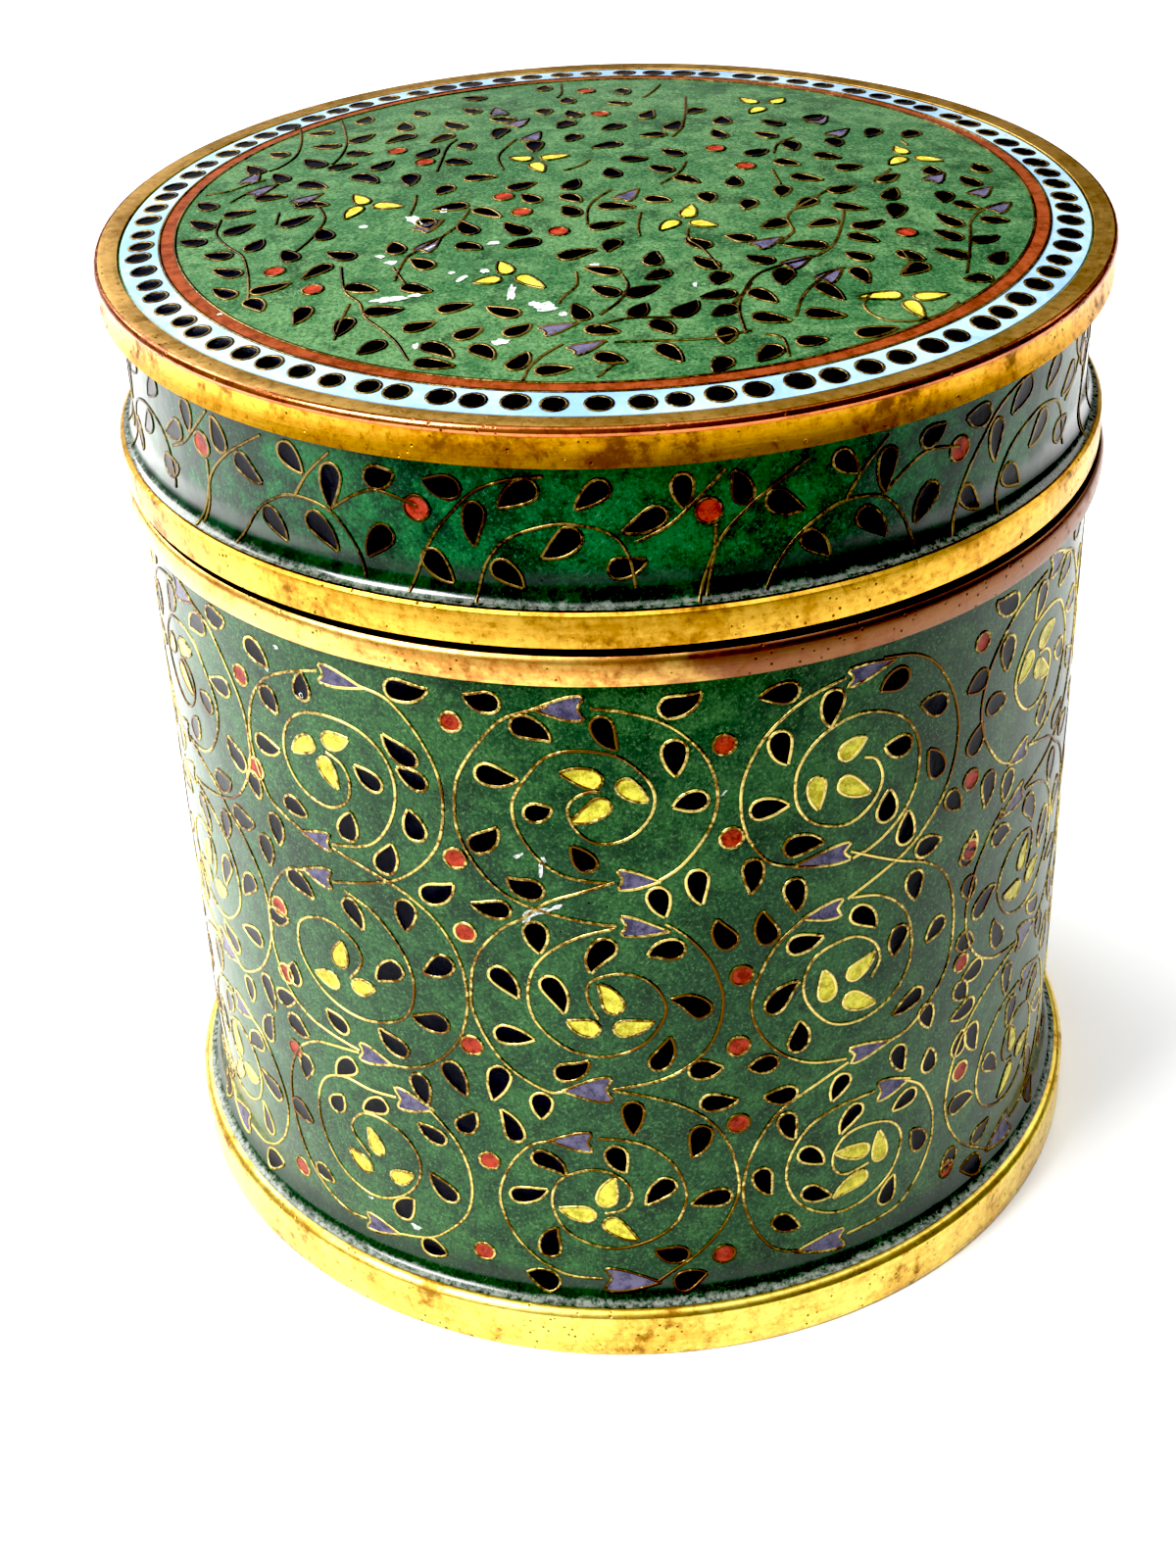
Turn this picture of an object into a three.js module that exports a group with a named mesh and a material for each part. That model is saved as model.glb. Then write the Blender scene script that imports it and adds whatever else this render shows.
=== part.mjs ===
// Round lidded box of cloisonne enamel on copper, with turned brass rims.
// Millimetres, +Z up. The box stands on its foot ring at z = 0, and its axis is the z axis.

import * as THREE from 'three';

// Box: an enamelled copper wall and floor between a brass foot ring and a brass mouth rim
const bodyRadius = 44.8;
const bodyWall = 1.8;
const seamHeight = 77.0;
const flareHeight = 3.6;
const bodyFlare = 1.6;

const footOverhang = 2.5;
const footHeight = 5.4;
const footBevel = 0.6;
const footEdge = 0.2;

const floorThickness = 1.8;
const floorLedge = 1.2;

const mouthOverhang = 1.3;
const mouthHeight = 3.0;
const mouthBulge = 0.3;

// Collar: the part of the mouth rim that stands up inside the lid
const collarHeight = 5.0;
const collarThickness = 0.8;
const collarClearance = 0.6;

// Lid: a short enamelled wall and a domed enamelled panel between two brass rims
const lidInset = 0.65;
const lidWall = 1.4;
const lidHeight = 19.75;
const lidFlare = 1.2;
const lidFlareHeight = 2.5;
const lidShift = -0.25;
const lidRestGap = 0.2;

const lowerRimOverhang = 1.7;
const lowerRimHeight = 3.55;
const lowerRimBevel = 0.35;

const topRimOverhang = 1.85;
const topRimDepth = 3.45;
const topRimFlat = 2.2;
const lipRadius = 0.45;
const coveSag = 0.3;
const coveInset = 0.1;

const panelThickness = 1.7;
const panelCrown = 2.5;

// Film of solder between pieces that are joined for good
const solderFilm = 0.1;

const turns = 64;

// Heights and radii that follow from the sizes above
const bodyBore = bodyRadius - bodyWall;
const mouthRadius = bodyRadius + mouthOverhang;
const mouthUnderside = seamHeight - mouthHeight;
const wallFoot = footHeight + solderFilm;
const wallHead = mouthUnderside - solderFilm;
const footRadius = bodyRadius + footOverhang;
const footBore = bodyBore - floorLedge;
const lidRadius = bodyRadius - lidInset;
const lidBore = lidRadius - lidWall;
const collarOuter = lidBore - collarClearance;
const collarInner = collarOuter - collarThickness;
const lidUnderside = seamHeight + lidRestGap;
const lowerRimRadius = lidRadius + lowerRimOverhang;
const lowerRimTop = lidUnderside + lowerRimHeight;
const lidTop = seamHeight + lidHeight;
const topRimRadius = lidRadius + topRimOverhang;
const topRimUnderside = lidTop - topRimDepth;
const panelSeat = topRimRadius - topRimFlat;
const panelRadius = panelSeat - solderFilm;
const lidWallFoot = lowerRimTop + solderFilm;
const lidWallHead = topRimUnderside - solderFilm;

const greenEnamel = { color: 0x2c7044, roughness: 0.22, metalness: 0.0 };
const paleEnamel = { color: 0x6fb0ae, roughness: 0.3, metalness: 0.0 };
const brass = { color: 0xb98a38, roughness: 0.35, metalness: 1.0 };

// Points on a round stretch of an outline, in the plane of radius and height
function roundStretch(centreRadius, centreHeight, radius, fromDegrees, toDegrees, steps) {
  const points = [];
  for (let i = 0; i <= steps; i += 1) {
    const angle = THREE.MathUtils.degToRad(fromDegrees + ((toDegrees - fromDegrees) * i) / steps);
    points.push([centreRadius + radius * Math.cos(angle), centreHeight + radius * Math.sin(angle)]);
  }
  return points;
}

// Points from one place to another that bow sideways, to the left of the way they go
function bowed(from, to, sag, steps) {
  const along = new THREE.Vector2(to[0] - from[0], to[1] - from[1]);
  const side = new THREE.Vector2(-along.y, along.x).normalize();
  const points = [];
  for (let i = 0; i <= steps; i += 1) {
    const t = i / steps;
    const out = 4 * sag * t * (1 - t);
    points.push([from[0] + along.x * t + side.x * out, from[1] + along.y * t + side.y * out]);
  }
  return points;
}

// A wall's outside foot, which sweeps out like a quarter of an ellipse to meet its rim
function flareOut(radius, flare, foot, height, steps) {
  const points = [];
  for (let i = 0; i <= steps; i += 1) {
    const angle = (Math.PI / 2) * (i / steps);
    const reach = flare * (1 - Math.sin(angle));
    points.push([radius + reach, foot + height * (1 - Math.cos(angle))]);
  }
  return points;
}

// Outline points run up the outside, in over the top and down the inside
function turned(name, outline, finish) {
  const points = outline.map(([radius, height]) => new THREE.Vector2(radius, height));
  if (outline[0][0] > 0) {
    points.push(points[0].clone());
  }
  const geometry = new THREE.LatheGeometry(points, turns);
  geometry.rotateX(Math.PI / 2);
  const mesh = new THREE.Mesh(geometry, new THREE.MeshStandardMaterial(finish));
  mesh.name = name;
  return mesh;
}

function footRing() {
  return turned('foot_ring', [
    [footBore, 0],
    [footRadius - footEdge, 0],
    [footRadius, footEdge],
    [footRadius, footHeight - footBevel],
    [footRadius - footBevel, footHeight],
    [footBore, footHeight],
  ], brass);
}

// The floor lies inside the wall, on the foot ring's inner ledge
function boxFloor() {
  const radius = bodyBore - solderFilm;
  return turned('box_floor', [
    [0, wallFoot],
    [radius, wallFoot],
    [radius, wallFoot + floorThickness],
    [0, wallFoot + floorThickness],
  ], paleEnamel);
}

function boxWall() {
  return turned('box_wall', [
    [bodyBore, wallFoot],
    ...flareOut(bodyRadius, bodyFlare, wallFoot, flareHeight, 5),
    [bodyRadius, wallHead],
    [bodyBore, wallHead],
  ], greenEnamel);
}

// The rim's inner edge carries the collar, so the rim and the collar are one turned piece
function mouthRim() {
  const edge = mouthRadius - mouthBulge;
  return turned('mouth_rim', [
    [collarInner, mouthUnderside],
    ...bowed([edge, mouthUnderside], [edge, seamHeight], -mouthBulge, 4),
    [collarOuter, seamHeight],
    [collarOuter, seamHeight + collarHeight],
    [collarInner, seamHeight + collarHeight],
  ], brass);
}

function lidLowerRim() {
  return turned('lid_lower_rim', [
    [lidBore, lidUnderside],
    [lowerRimRadius - lowerRimBevel, lidUnderside],
    [lowerRimRadius, lidUnderside + lowerRimBevel],
    [lowerRimRadius, lowerRimTop - lowerRimBevel],
    [lowerRimRadius - lowerRimBevel, lowerRimTop],
    [lidBore, lowerRimTop],
  ], brass);
}

function lidSide() {
  return turned('lid_wall', [
    [lidBore, lidWallFoot],
    ...flareOut(lidRadius, lidFlare, lidWallFoot, lidFlareHeight, 4),
    [lidRadius, lidWallHead],
    [lidBore, lidWallHead],
  ], greenEnamel);
}

// A shallow cove runs up to a round lip, and a rebate inside holds the panel
function lidTopRim() {
  const lipCentre = topRimRadius - lipRadius;
  const lipHeight = lidTop - lipRadius;
  const coveTop = [lipCentre, lipHeight - lipRadius];
  const coveBottom = [topRimRadius - coveInset, topRimUnderside];
  const seatHeight = lidTop - panelThickness - solderFilm;
  return turned('lid_top_rim', [
    [lidBore, topRimUnderside],
    ...bowed(coveBottom, coveTop, coveSag, 4),
    ...roundStretch(lipCentre, lipHeight, lipRadius, -60, 90, 5),
    [panelSeat, lidTop],
    [panelSeat, seatHeight],
    [lidBore, seatHeight],
  ], brass);
}

// Height of the panel's dome above its edge, at a share of the way out from the centre
function crownHeight(share) {
  return panelCrown * (1 - share * share);
}

function lidPanel() {
  const rings = 6;
  const top = [];
  const underside = [];
  for (let i = 0; i <= rings; i += 1) {
    const share = i / rings;
    underside.push([panelRadius * share, lidTop - panelThickness + crownHeight(share)]);
    top.unshift([panelRadius * share, lidTop + crownHeight(share)]);
  }
  return turned('lid_panel', [...underside, ...top], greenEnamel);
}

const box = new THREE.Group();
box.add(footRing(), boxFloor(), boxWall(), mouthRim());

// The lid lifts off. It rests on the mouth rim, a little to one side within its play.
const lid = new THREE.Group();
lid.position.x = lidShift;
lid.add(lidLowerRim(), lidSide(), lidTopRim(), lidPanel());

const group = new THREE.Group();
group.add(box, lid);

export default group;
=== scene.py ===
# Looks of the round cloisonne enamel box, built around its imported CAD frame.
# Sizes are in millimetres and are multiplied by MM where a mesh is made.

import math
import random

import bmesh
import bpy
from mathutils import Matrix, Vector, noise


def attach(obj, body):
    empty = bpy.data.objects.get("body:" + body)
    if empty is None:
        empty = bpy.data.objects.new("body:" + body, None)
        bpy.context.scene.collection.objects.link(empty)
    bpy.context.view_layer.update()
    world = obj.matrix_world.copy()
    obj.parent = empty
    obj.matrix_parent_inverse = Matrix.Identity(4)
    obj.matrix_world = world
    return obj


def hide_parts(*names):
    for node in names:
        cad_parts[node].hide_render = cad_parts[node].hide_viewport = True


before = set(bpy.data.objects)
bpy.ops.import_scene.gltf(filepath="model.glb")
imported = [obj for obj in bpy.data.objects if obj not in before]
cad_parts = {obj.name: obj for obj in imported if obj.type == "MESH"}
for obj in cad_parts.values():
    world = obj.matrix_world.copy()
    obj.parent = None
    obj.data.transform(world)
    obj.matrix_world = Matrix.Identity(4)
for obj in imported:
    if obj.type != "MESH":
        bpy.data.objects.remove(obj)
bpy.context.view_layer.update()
MM = 0.001
scene = bpy.context.scene


# Camera: stands in front of the box and a little above it, and looks down on its lid. Its
# place and angles were fitted to the ellipses of the brass rims.
CAMERA_PLACE = (0.0, -212.461, 173.668)
LOOKS_DOWN, LOOKS_ASIDE, TILT = (math.radians(a) for a in (33.1271, -1.0077, -2.3248))
FOCAL_PIXELS = 2472.409
PHOTO_HEIGHT = 1600
SENSOR = 36

forward = Vector((
    math.sin(LOOKS_ASIDE) * math.cos(LOOKS_DOWN),
    math.cos(LOOKS_ASIDE) * math.cos(LOOKS_DOWN),
    -math.sin(LOOKS_DOWN),
))
level = Vector((math.cos(LOOKS_ASIDE), -math.sin(LOOKS_ASIDE), 0.0))
upward = level.cross(forward)
right = level * math.cos(TILT) + upward * math.sin(TILT)
upward = upward * math.cos(TILT) - level * math.sin(TILT)
camera_data = bpy.data.cameras.new("camera")
camera_data.lens = FOCAL_PIXELS * SENSOR / PHOTO_HEIGHT
camera_data.sensor_width = SENSOR
camera_data.clip_start = 0.01
camera_data.clip_end = 20
camera = bpy.data.objects.new("camera", camera_data)
scene.collection.objects.link(camera)
camera.matrix_world = Matrix((
    (right.x, upward.x, -forward.x, CAMERA_PLACE[0] * MM),
    (right.y, upward.y, -forward.y, CAMERA_PLACE[1] * MM),
    (right.z, upward.z, -forward.z, CAMERA_PLACE[2] * MM),
    (0, 0, 0, 1),
))
scene.camera = camera


# Foot ring: a heavy brass ring, turned on a lathe and soldered under the wall.
# Its outside is rubbed bright yellow, with brown stains and small pits.
class Value:
    """A number, colour or place in a node tree. Sums written with it add Math nodes."""

    def __init__(self, tree, socket):
        self.tree = tree
        self.socket = socket

    def maths(self, operation, *others):
        return self.tree.node("ShaderNodeMath", {"operation": operation}, dict(enumerate((self, *others))))

    def __add__(self, other):
        return self.maths("ADD", other)

    def __sub__(self, other):
        return self.maths("SUBTRACT", other)

    def __rsub__(self, other):
        return self.tree.node("ShaderNodeMath", {"operation": "SUBTRACT"}, {0: other, 1: self})

    def __mul__(self, other):
        return self.maths("MULTIPLY", other)

    def __truediv__(self, other):
        return self.maths("DIVIDE", other)

    def __pow__(self, other):
        return self.maths("POWER", other)

    __radd__ = __add__
    __rmul__ = __mul__

    def between(self, low, high):
        """0 below low, 1 above high, and a smooth rise between them"""
        settings = {"interpolation_type": "SMOOTHSTEP"}
        return self.tree.node("ShaderNodeMapRange", settings, {0: self, 1: low, 2: high})

    def larger(self, other):
        return self.maths("MAXIMUM", other)

    def smaller(self, other):
        return self.maths("MINIMUM", other)


class Tree:
    """A node tree, for a finish or for Geometry Nodes"""

    def __init__(self, nodes, links):
        self.nodes = nodes
        self.links = links

    def node(self, kind, settings=None, sockets=None, out=0):
        made = self.nodes.new(kind)
        for name, setting in (settings or {}).items():
            setattr(made, name, setting)
        for name, value in (sockets or {}).items():
            if isinstance(value, Value):
                self.links.new(value.socket, made.inputs[name])
            else:
                made.inputs[name].default_value = value
        return Value(self, made.outputs[out])

    def vector(self, operation, *values):
        return self.node("ShaderNodeVectorMath", {"operation": operation}, dict(enumerate(values)))

    def parts(self, vector):
        return [self.node("ShaderNodeSeparateXYZ", None, {0: vector}, out=i) for i in range(3)]

    def joined(self, x, y, z):
        return self.node("ShaderNodeCombineXYZ", None, {0: x, 1: y, 2: z})


def tone(red, green, blue):
    """Linear colour from the 0 to 255 values that a screen shows"""
    return tuple(
        c / 255 / 12.92 if c < 11 else ((c / 255 + 0.055) / 1.055) ** 2.4
        for c in (red, green, blue)
    )


class Finish(Tree):
    """A material, whose patterns are measured in millimetres on the box"""

    def __init__(self, name):
        self.material = bpy.data.materials.new(name)
        self.material.use_nodes = True
        super().__init__(self.material.node_tree.nodes, self.material.node_tree.links)
        self.nodes.clear()
        place = self.node("ShaderNodeTexCoord", out=3)
        self.place = self.node("ShaderNodeVectorMath", {"operation": "SCALE"}, {0: place, "Scale": 1000})

    def cloud(self, scale, detail, roughness=0.55, place=None, shift=0.0):
        """Noise whose patches are about 1 / scale millimetres wide"""
        place = self.vector("ADD", place or self.place, (shift, shift * 0.7, shift * 1.3))
        sockets = {"Vector": place, "Scale": scale, "Detail": detail, "Roughness": roughness}
        return self.node("ShaderNodeTexNoise", None, sockets)

    def specks(self, scale, shift=0.0):
        """Distance from the nearest of many points, about 1 / scale millimetres apart"""
        place = self.vector("ADD", self.place, (shift, shift * 0.7, shift * 1.3))
        return self.node("ShaderNodeTexVoronoi", None, {"Vector": place, "Scale": scale})

    def mix(self, share, first, second):
        first, second = ((*c, 1) if isinstance(c, tuple) else c for c in (first, second))
        return self.node("ShaderNodeMix", {"data_type": "RGBA"}, {0: share, 6: first, 7: second}, out=2)

    def raised(self, height, strength):
        """Normal of a surface whose relief is height, given in millimetres"""
        return self.node("ShaderNodeBump", None, {"Height": height, "Strength": strength, "Distance": MM})

    def end(self, **sockets):
        named = {name.replace("_", " "): value for name, value in sockets.items()}
        shader = self.node("ShaderNodeBsdfPrincipled", None, named)
        ending = self.nodes.new("ShaderNodeOutputMaterial")
        self.links.new(shader.socket, ending.inputs["Surface"])
        return self.material


def brass(name, bright, worn, stain, stain_from=0.52, stain_to=0.64, shift=0.0, shaded_side_colour=None, rough=0.3):
    """Old turned brass: lathe marks, cloudy patina, fine scratches, brown stains and small pits.
    The side colour, when given, is painted shade: its right-hand side is painted darker towards it, where the
    light falls off."""
    finish = Finish(name)
    x, y, z = finish.parts(finish.place)
    out = finish.node("ShaderNodeVectorMath", {"operation": "LENGTH"}, {0: finish.joined(x, y, 0.0)}, out=1)
    drawn = finish.joined(x * 0.07, y * 0.07, (z + out) * 1.8)
    lathe = finish.cloud(1.0, 5, 0.6, drawn, shift)
    hairs = finish.cloud(1.0, 3, 0.7, finish.joined(x * 0.3, y * 0.3, (z + out) * 9.0), shift + 4)
    slanted = finish.joined(x * 2.6 + z * 1.4, y * 2.6, z * 0.9 - x * 0.7)
    scratches = finish.cloud(1.0, 4, 0.7, slanted, shift + 6)
    patina = finish.cloud(0.13, 4, 0.62, shift=shift + 9)
    mottle = finish.cloud(1.1, 5, 0.75, shift=shift + 17)
    colour = finish.mix((patina * 0.55 + lathe * 0.2 + mottle * 0.4).between(0.47, 0.68), bright, worn)
    colour = finish.mix((mottle * 0.5 + scratches * 0.5).between(0.52, 0.66) * 0.55, colour, stain)
    # Painted shade: the right-hand side is mixed towards a darker colour, where the light falls off.
    if shaded_side_colour:
        side = (x + (patina - 0.5) * 24).between(-2.0, 10.0)
        colour = finish.mix(side * 0.92, colour, shaded_side_colour)
    stained = (patina * 0.5 + finish.cloud(0.5, 5, 0.7, shift=shift + 25) * 0.5).between(stain_from, stain_to)
    colour = finish.mix(stained * 0.75, colour, stain)
    pits = 1 - finish.specks(1.1, shift).between(0.07, 0.2)
    pits = pits * finish.cloud(0.2, 2, shift=shift + 31).between(0.48, 0.56)
    colour = finish.mix(pits * 0.85, colour, tuple(c * 0.2 for c in stain))
    roughness = rough + stained * 0.2 + (hairs - 0.5) * 0.25 + pits * 0.3
    relief = hairs * 0.007 + lathe * 0.02 + scratches * 0.008 + mottle * 0.018 - pits * 0.05
    return finish.end(
        Base_Color=colour, Metallic=1.0, Roughness=roughness, Normal=finish.raised(relief, 0.9)
    )


def show(piece, slot, *replaced):
    """Puts a finished piece on the box, in place of CAD nodes. The slot argument is not used."""
    scene.collection.objects.link(piece)
    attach(piece, "root")
    if replaced:
        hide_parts(*replaced)


TURNS = 256
SHARP_EDGE = math.radians(28)


def turned(name, outline, finishes, zones=None, aside=0.0, wear=0.0):
    """A lathe piece. Its outline runs up the outside, in over the top and down the inside.
    zones gives the finish of each stretch of the outline. wear is how far, in millimetres,
    the surface wanders inward where it has been rubbed and knocked."""
    closed = outline[0][0] > 0
    count = len(outline)
    points, faces, finish_of = [], [], []
    for j in range(TURNS):
        angle = 2 * math.pi * j / TURNS
        for i, (r, z) in enumerate(outline):
            if wear:
                place = Vector((r * math.sin(angle), -r * math.cos(angle), z))
                r -= wear * (0.5 + 0.5 * noise.noise(place * 0.11))
                r -= wear * 0.5 * abs(noise.noise(place * 0.7))
            points.append(((aside + r * math.sin(angle)) * MM, -r * math.cos(angle) * MM, z * MM))
    stretches = count if closed else count - 1
    for j in range(TURNS):
        here, after = j * count, ((j + 1) % TURNS) * count
        for i in range(stretches):
            k = (i + 1) % count
            if outline[i][0] == 0:
                face = (here, after + k, here + k)
            elif outline[k][0] == 0:
                face = (here + i, after + i, here + k)
            else:
                face = (here + i, after + i, after + k, here + k)
            faces.append(face)
            finish_of.append(zones[i] if zones else 0)
    mesh = bpy.data.meshes.new(name)
    mesh.from_pydata(points, [], faces)
    for finish in finishes:
        mesh.materials.append(finish)
    mesh.polygons.foreach_set("material_index", finish_of)
    mesh.validate()
    if not closed:
        work = bmesh.new()
        work.from_mesh(mesh)
        bmesh.ops.remove_doubles(work, verts=work.verts, dist=1e-7)
        work.to_mesh(mesh)
        work.free()
    mesh.shade_smooth()
    mesh.set_sharp_from_angle(angle=SHARP_EDGE)
    return bpy.data.objects.new(name, mesh)


FOOT_BORE = 41.8
foot_brass = brass(
    "brass_foot", bright=tone(244, 220, 112), worn=tone(222, 178, 80), stain=tone(116, 70, 28),
    stain_from=0.54,
)
foot = turned("foot_ring_turned", [
    (FOOT_BORE, 0.0), (47.0, 0.0), (47.2, 0.06), (47.3, 0.25),
    (47.3, 1.5), (47.28, 3.2), (47.3, 4.3), (47.3, 4.75), (47.24, 4.9),
    (46.8, 5.33), (46.62, 5.4), (FOOT_BORE, 5.4),
], [foot_brass], wear=0.05)
show(foot, "rim_brass", "foot_ring")


# Box floor: a copper disc with plain pale enamel, lying on the foot ring's inner ledge.
# It is hidden in the photograph, and its enamel is the plain kind used inside such boxes.
def pale_enamel(name, colour, deep):
    finish = Finish(name)
    patches = finish.cloud(0.09, 4)
    grains = finish.cloud(1.3, 4, 0.7)
    shade = finish.mix((patches * 0.7 + grains * 0.3).between(0.35, 0.65), colour, deep)
    pits = 1 - finish.specks(0.35).between(0.02, 0.06)
    shade = finish.mix(pits, shade, tone(28, 44, 42))
    relief = patches * 0.4 + grains * 0.015 - pits * 0.05
    return finish.end(
        Base_Color=shade, Roughness=0.16 + grains * 0.1, Normal=finish.raised(relief, 0.5),
        Specular_IOR_Level=0.35,
    )


inside_enamel = pale_enamel("enamel_inside", tone(118, 178, 176), tone(88, 152, 156))
floor_disc = turned("box_floor_enamel", [
    (0.0, 5.5), (42.4, 5.5), (42.75, 5.6), (42.9, 5.9), (42.9, 6.9), (42.75, 7.2), (42.4, 7.3), (0.0, 7.3),
], [inside_enamel])
show(floor_disc, "pale_enamel", "box_floor")


# Box wall: a copper cylinder, enamelled green outside and pale inside, ground smooth.
# The green is thick and glassy, cloudy with darker grains, and whitish over the foot.
WALL_RADIUS = 44.8
WALL_BORE = 43.0
WALL_FOOT = 5.5
WALL_HEAD = 73.9
FLARE_HEIGHT = 3.6
FLARE = 1.6


def green_enamel(name, light, deep, dark, foot, glow, frost_and_sheen, glossy, shift=0.0):
    """Ground glass fused green: soft clouds, fine grains, scratches and tiny holes. Over its
    foot, from the height foot upward, it is darker glass, with a pale strip by the rim: frosted wear, and on
    the lid's wall, where the strip is made stronger, also a painted highlight."""
    finish = Finish(name)
    x, y, z = finish.parts(finish.place)
    clouds = finish.cloud(0.07, 4, 0.55, shift=shift)
    patches = finish.cloud(0.4, 5, 0.65, shift=shift + 11)
    grains = finish.cloud(3.2, 5, 0.8, shift=shift + 23)
    colour = finish.mix((clouds * 0.4 + patches * 0.6).between(0.42, 0.56), light, deep)
    pools = finish.cloud(0.22, 4, 0.7, shift=shift + 83).between(0.5, 0.66)
    colour = finish.mix(pools * 0.6, colour, dark)
    colour = finish.mix(grains.between(0.48, 0.64) * 0.8, colour, dark)
    colour = finish.mix((1 - grains.between(0.34, 0.46)) * 0.35, colour, glow)
    streaks = finish.joined((x + z) * 0.5, y * 1.5, (z - x) * 3.2)
    scratches = finish.cloud(1.0, 4, 0.75, streaks, shift + 37)
    scratches = scratches.between(0.6, 0.72) * finish.cloud(0.12, 3, shift=shift + 51).between(0.42, 0.6)
    colour = finish.mix(scratches * 0.55, colour, glow)
    sparks = 1 - finish.specks(2.2, shift + 7).between(0.04, 0.16)
    sparks = sparks * finish.cloud(0.4, 2, shift=shift + 41).between(0.5, 0.6)
    colour = finish.mix(sparks * 0.6, colour, glow)
    holes = 1 - finish.specks(0.42, shift + 3).between(0.025, 0.06)
    colour = finish.mix(holes * 0.85, colour, tone(10, 24, 14))
    wander = (patches - 0.5) * 2.4 + (grains - 0.5) * 1.4
    low = 1 - (z + wander).between(foot + 1.8, foot + 3.6)
    colour = finish.mix(low * 0.7, colour, dark)
    # Pale strip by the rim: frosted wear, and partly a painted highlight where the strip is made strong.
    frost_and_sheen_mask = 1 - (z + wander * 0.4).between(foot + 0.1, foot + 0.6)
    frost_and_sheen_mask = frost_and_sheen_mask * finish.cloud(1.6, 5, 0.8, shift=shift + 61).between(0.4, 0.6) * frost_and_sheen
    colour = finish.mix(frost_and_sheen_mask, colour, tone(164, 170, 158))
    relief = clouds * 0.5 + patches * 0.03 + grains * 0.008 - holes * 0.05 - scratches * 0.01
    roughness = 0.12 + grains * 0.12 + frost_and_sheen_mask * 0.4 + scratches * 0.2
    return finish.end(
        Base_Color=colour, Roughness=roughness, Normal=finish.raised(relief, 0.6), Specular_IOR_Level=0.3,
        Coat_Weight=low * glossy, Coat_Roughness=0.08,
    )


def flare(radius, out, foot, height):
    """Outline of a wall's foot, which sweeps out to meet its rim"""
    steps = 8
    turns = [math.pi / 2 * i / steps for i in range(steps + 1)]
    return [(radius + out * (1 - math.sin(a)), foot + height * (1 - math.cos(a))) for a in turns]


wall_green = green_enamel(
    "enamel_green_wall", light=tone(42, 88, 44), deep=tone(22, 62, 32), dark=tone(5, 24, 14),
    foot=WALL_FOOT, glow=tone(122, 176, 104), frost_and_sheen=0.6, glossy=0.3,
)
outline = [(WALL_BORE, WALL_FOOT)] + flare(WALL_RADIUS, FLARE, WALL_FOOT, FLARE_HEIGHT)
outline += [(WALL_RADIUS, z) for z in (20, 40, 60, WALL_HEAD)] + [(WALL_BORE, WALL_HEAD)]
wall = turned(
    "box_wall_enamel", outline, [wall_green, inside_enamel], [0] * (len(outline) - 1) + [1]
)
show(wall, "green_enamel", "box_wall")


# Wire scrolls on the wall: thin flat brass wire, bent by hand, stood on edge on the copper
# and ground level with the enamel, which has since worn a hair lower than the wire.
class Laying(Tree):
    """A Geometry Nodes tree that lays a flat drawing on the box. Across is x, up is y."""

    def __init__(self, name, sizes):
        self.group = bpy.data.node_groups.new(name, "GeometryNodeTree")
        super().__init__(self.group.nodes, self.group.links)
        face = self.group.interface
        face.new_socket("Geometry", in_out="INPUT", socket_type="NodeSocketGeometry")
        face.new_socket("Geometry", in_out="OUTPUT", socket_type="NodeSocketGeometry")
        face.new_socket("Finish", in_out="INPUT", socket_type="NodeSocketMaterial")
        for label, size in sizes.items():
            face.new_socket(label, in_out="INPUT", socket_type="NodeSocketFloat").default_value = size
        self.entry = self.nodes.new("NodeGroupInput")

    def given(self, label):
        return Value(self, self.entry.outputs[label])

    def wire(self, drawing):
        """Smooth wire of a low trapezoid section along each line of the drawing"""
        line = self.node("GeometryNodeMeshToCurve", None, {"Mesh": drawing})
        line = self.node("GeometryNodeCurveSplineType", {"spline_type": "CATMULL_ROM"}, {"Curve": line})
        line = self.node("GeometryNodeResampleCurve", {"mode": "LENGTH"}, {
            "Curve": line, "Length": self.given("Step")})
        line = self.node("GeometryNodeSetCurveNormal", {"mode": "Z_UP"}, {"Curve": line})
        width, proud = self.given("Width"), self.given("Proud")
        section = self.node("GeometryNodeCurvePrimitiveQuadrilateral", {"mode": "TRAPEZOID"}, {
            "Height": proud * 2, "Bottom Width": width, "Top Width": width * 0.55, "Offset": 0.0})
        return self.node("GeometryNodeCurveToMesh", None, {
            "Curve": line, "Profile Curve": section, "Fill Caps": True})

    def on_wall(self, mesh):
        """Bends the flat drawing round the wall, and out over the flare at its foot"""
        x, y, z = self.parts(self.node("GeometryNodeInputPosition"))
        radius = self.given("Radius")
        rise = 1 - ((y - self.given("Foot")) / self.given("Flare height")).larger(0.0).smaller(1.0)
        reach = self.given("Flare") * (1 - (1 - rise * rise).maths("SQRT"))
        out = radius + reach + z
        turn = x / radius
        place = self.joined(
            turn.maths("SINE") * out + self.given("Aside"), turn.maths("COSINE") * out * -1, y
        )
        return self.placed(mesh, place)

    def on_dome(self, mesh):
        """Lifts the flat drawing onto the crowned panel"""
        x, y, z = self.parts(self.node("GeometryNodeInputPosition"))
        share = (x * x + y * y) / (self.given("Radius") ** 2)
        up = self.given("Edge") + self.given("Crown") * (1 - share) + z
        return self.placed(mesh, self.joined(x + self.given("Aside"), y, up))

    def placed(self, mesh, place):
        place = self.node("ShaderNodeVectorMath", {"operation": "SCALE"}, {0: place, "Scale": MM})
        mesh = self.node("GeometryNodeSetPosition", None, {"Geometry": mesh, "Position": place})
        mesh = self.node("GeometryNodeSetShadeSmooth", None, {"Geometry": mesh})
        mesh = self.node("GeometryNodeRealizeInstances", None, {"Geometry": mesh})
        mesh = self.node("GeometryNodeSetMaterial", None, {
            "Geometry": mesh, "Material": self.given("Finish")})
        ending = self.nodes.new("NodeGroupOutput")
        self.links.new(mesh.socket, ending.inputs[0])
        return self.group


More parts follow.
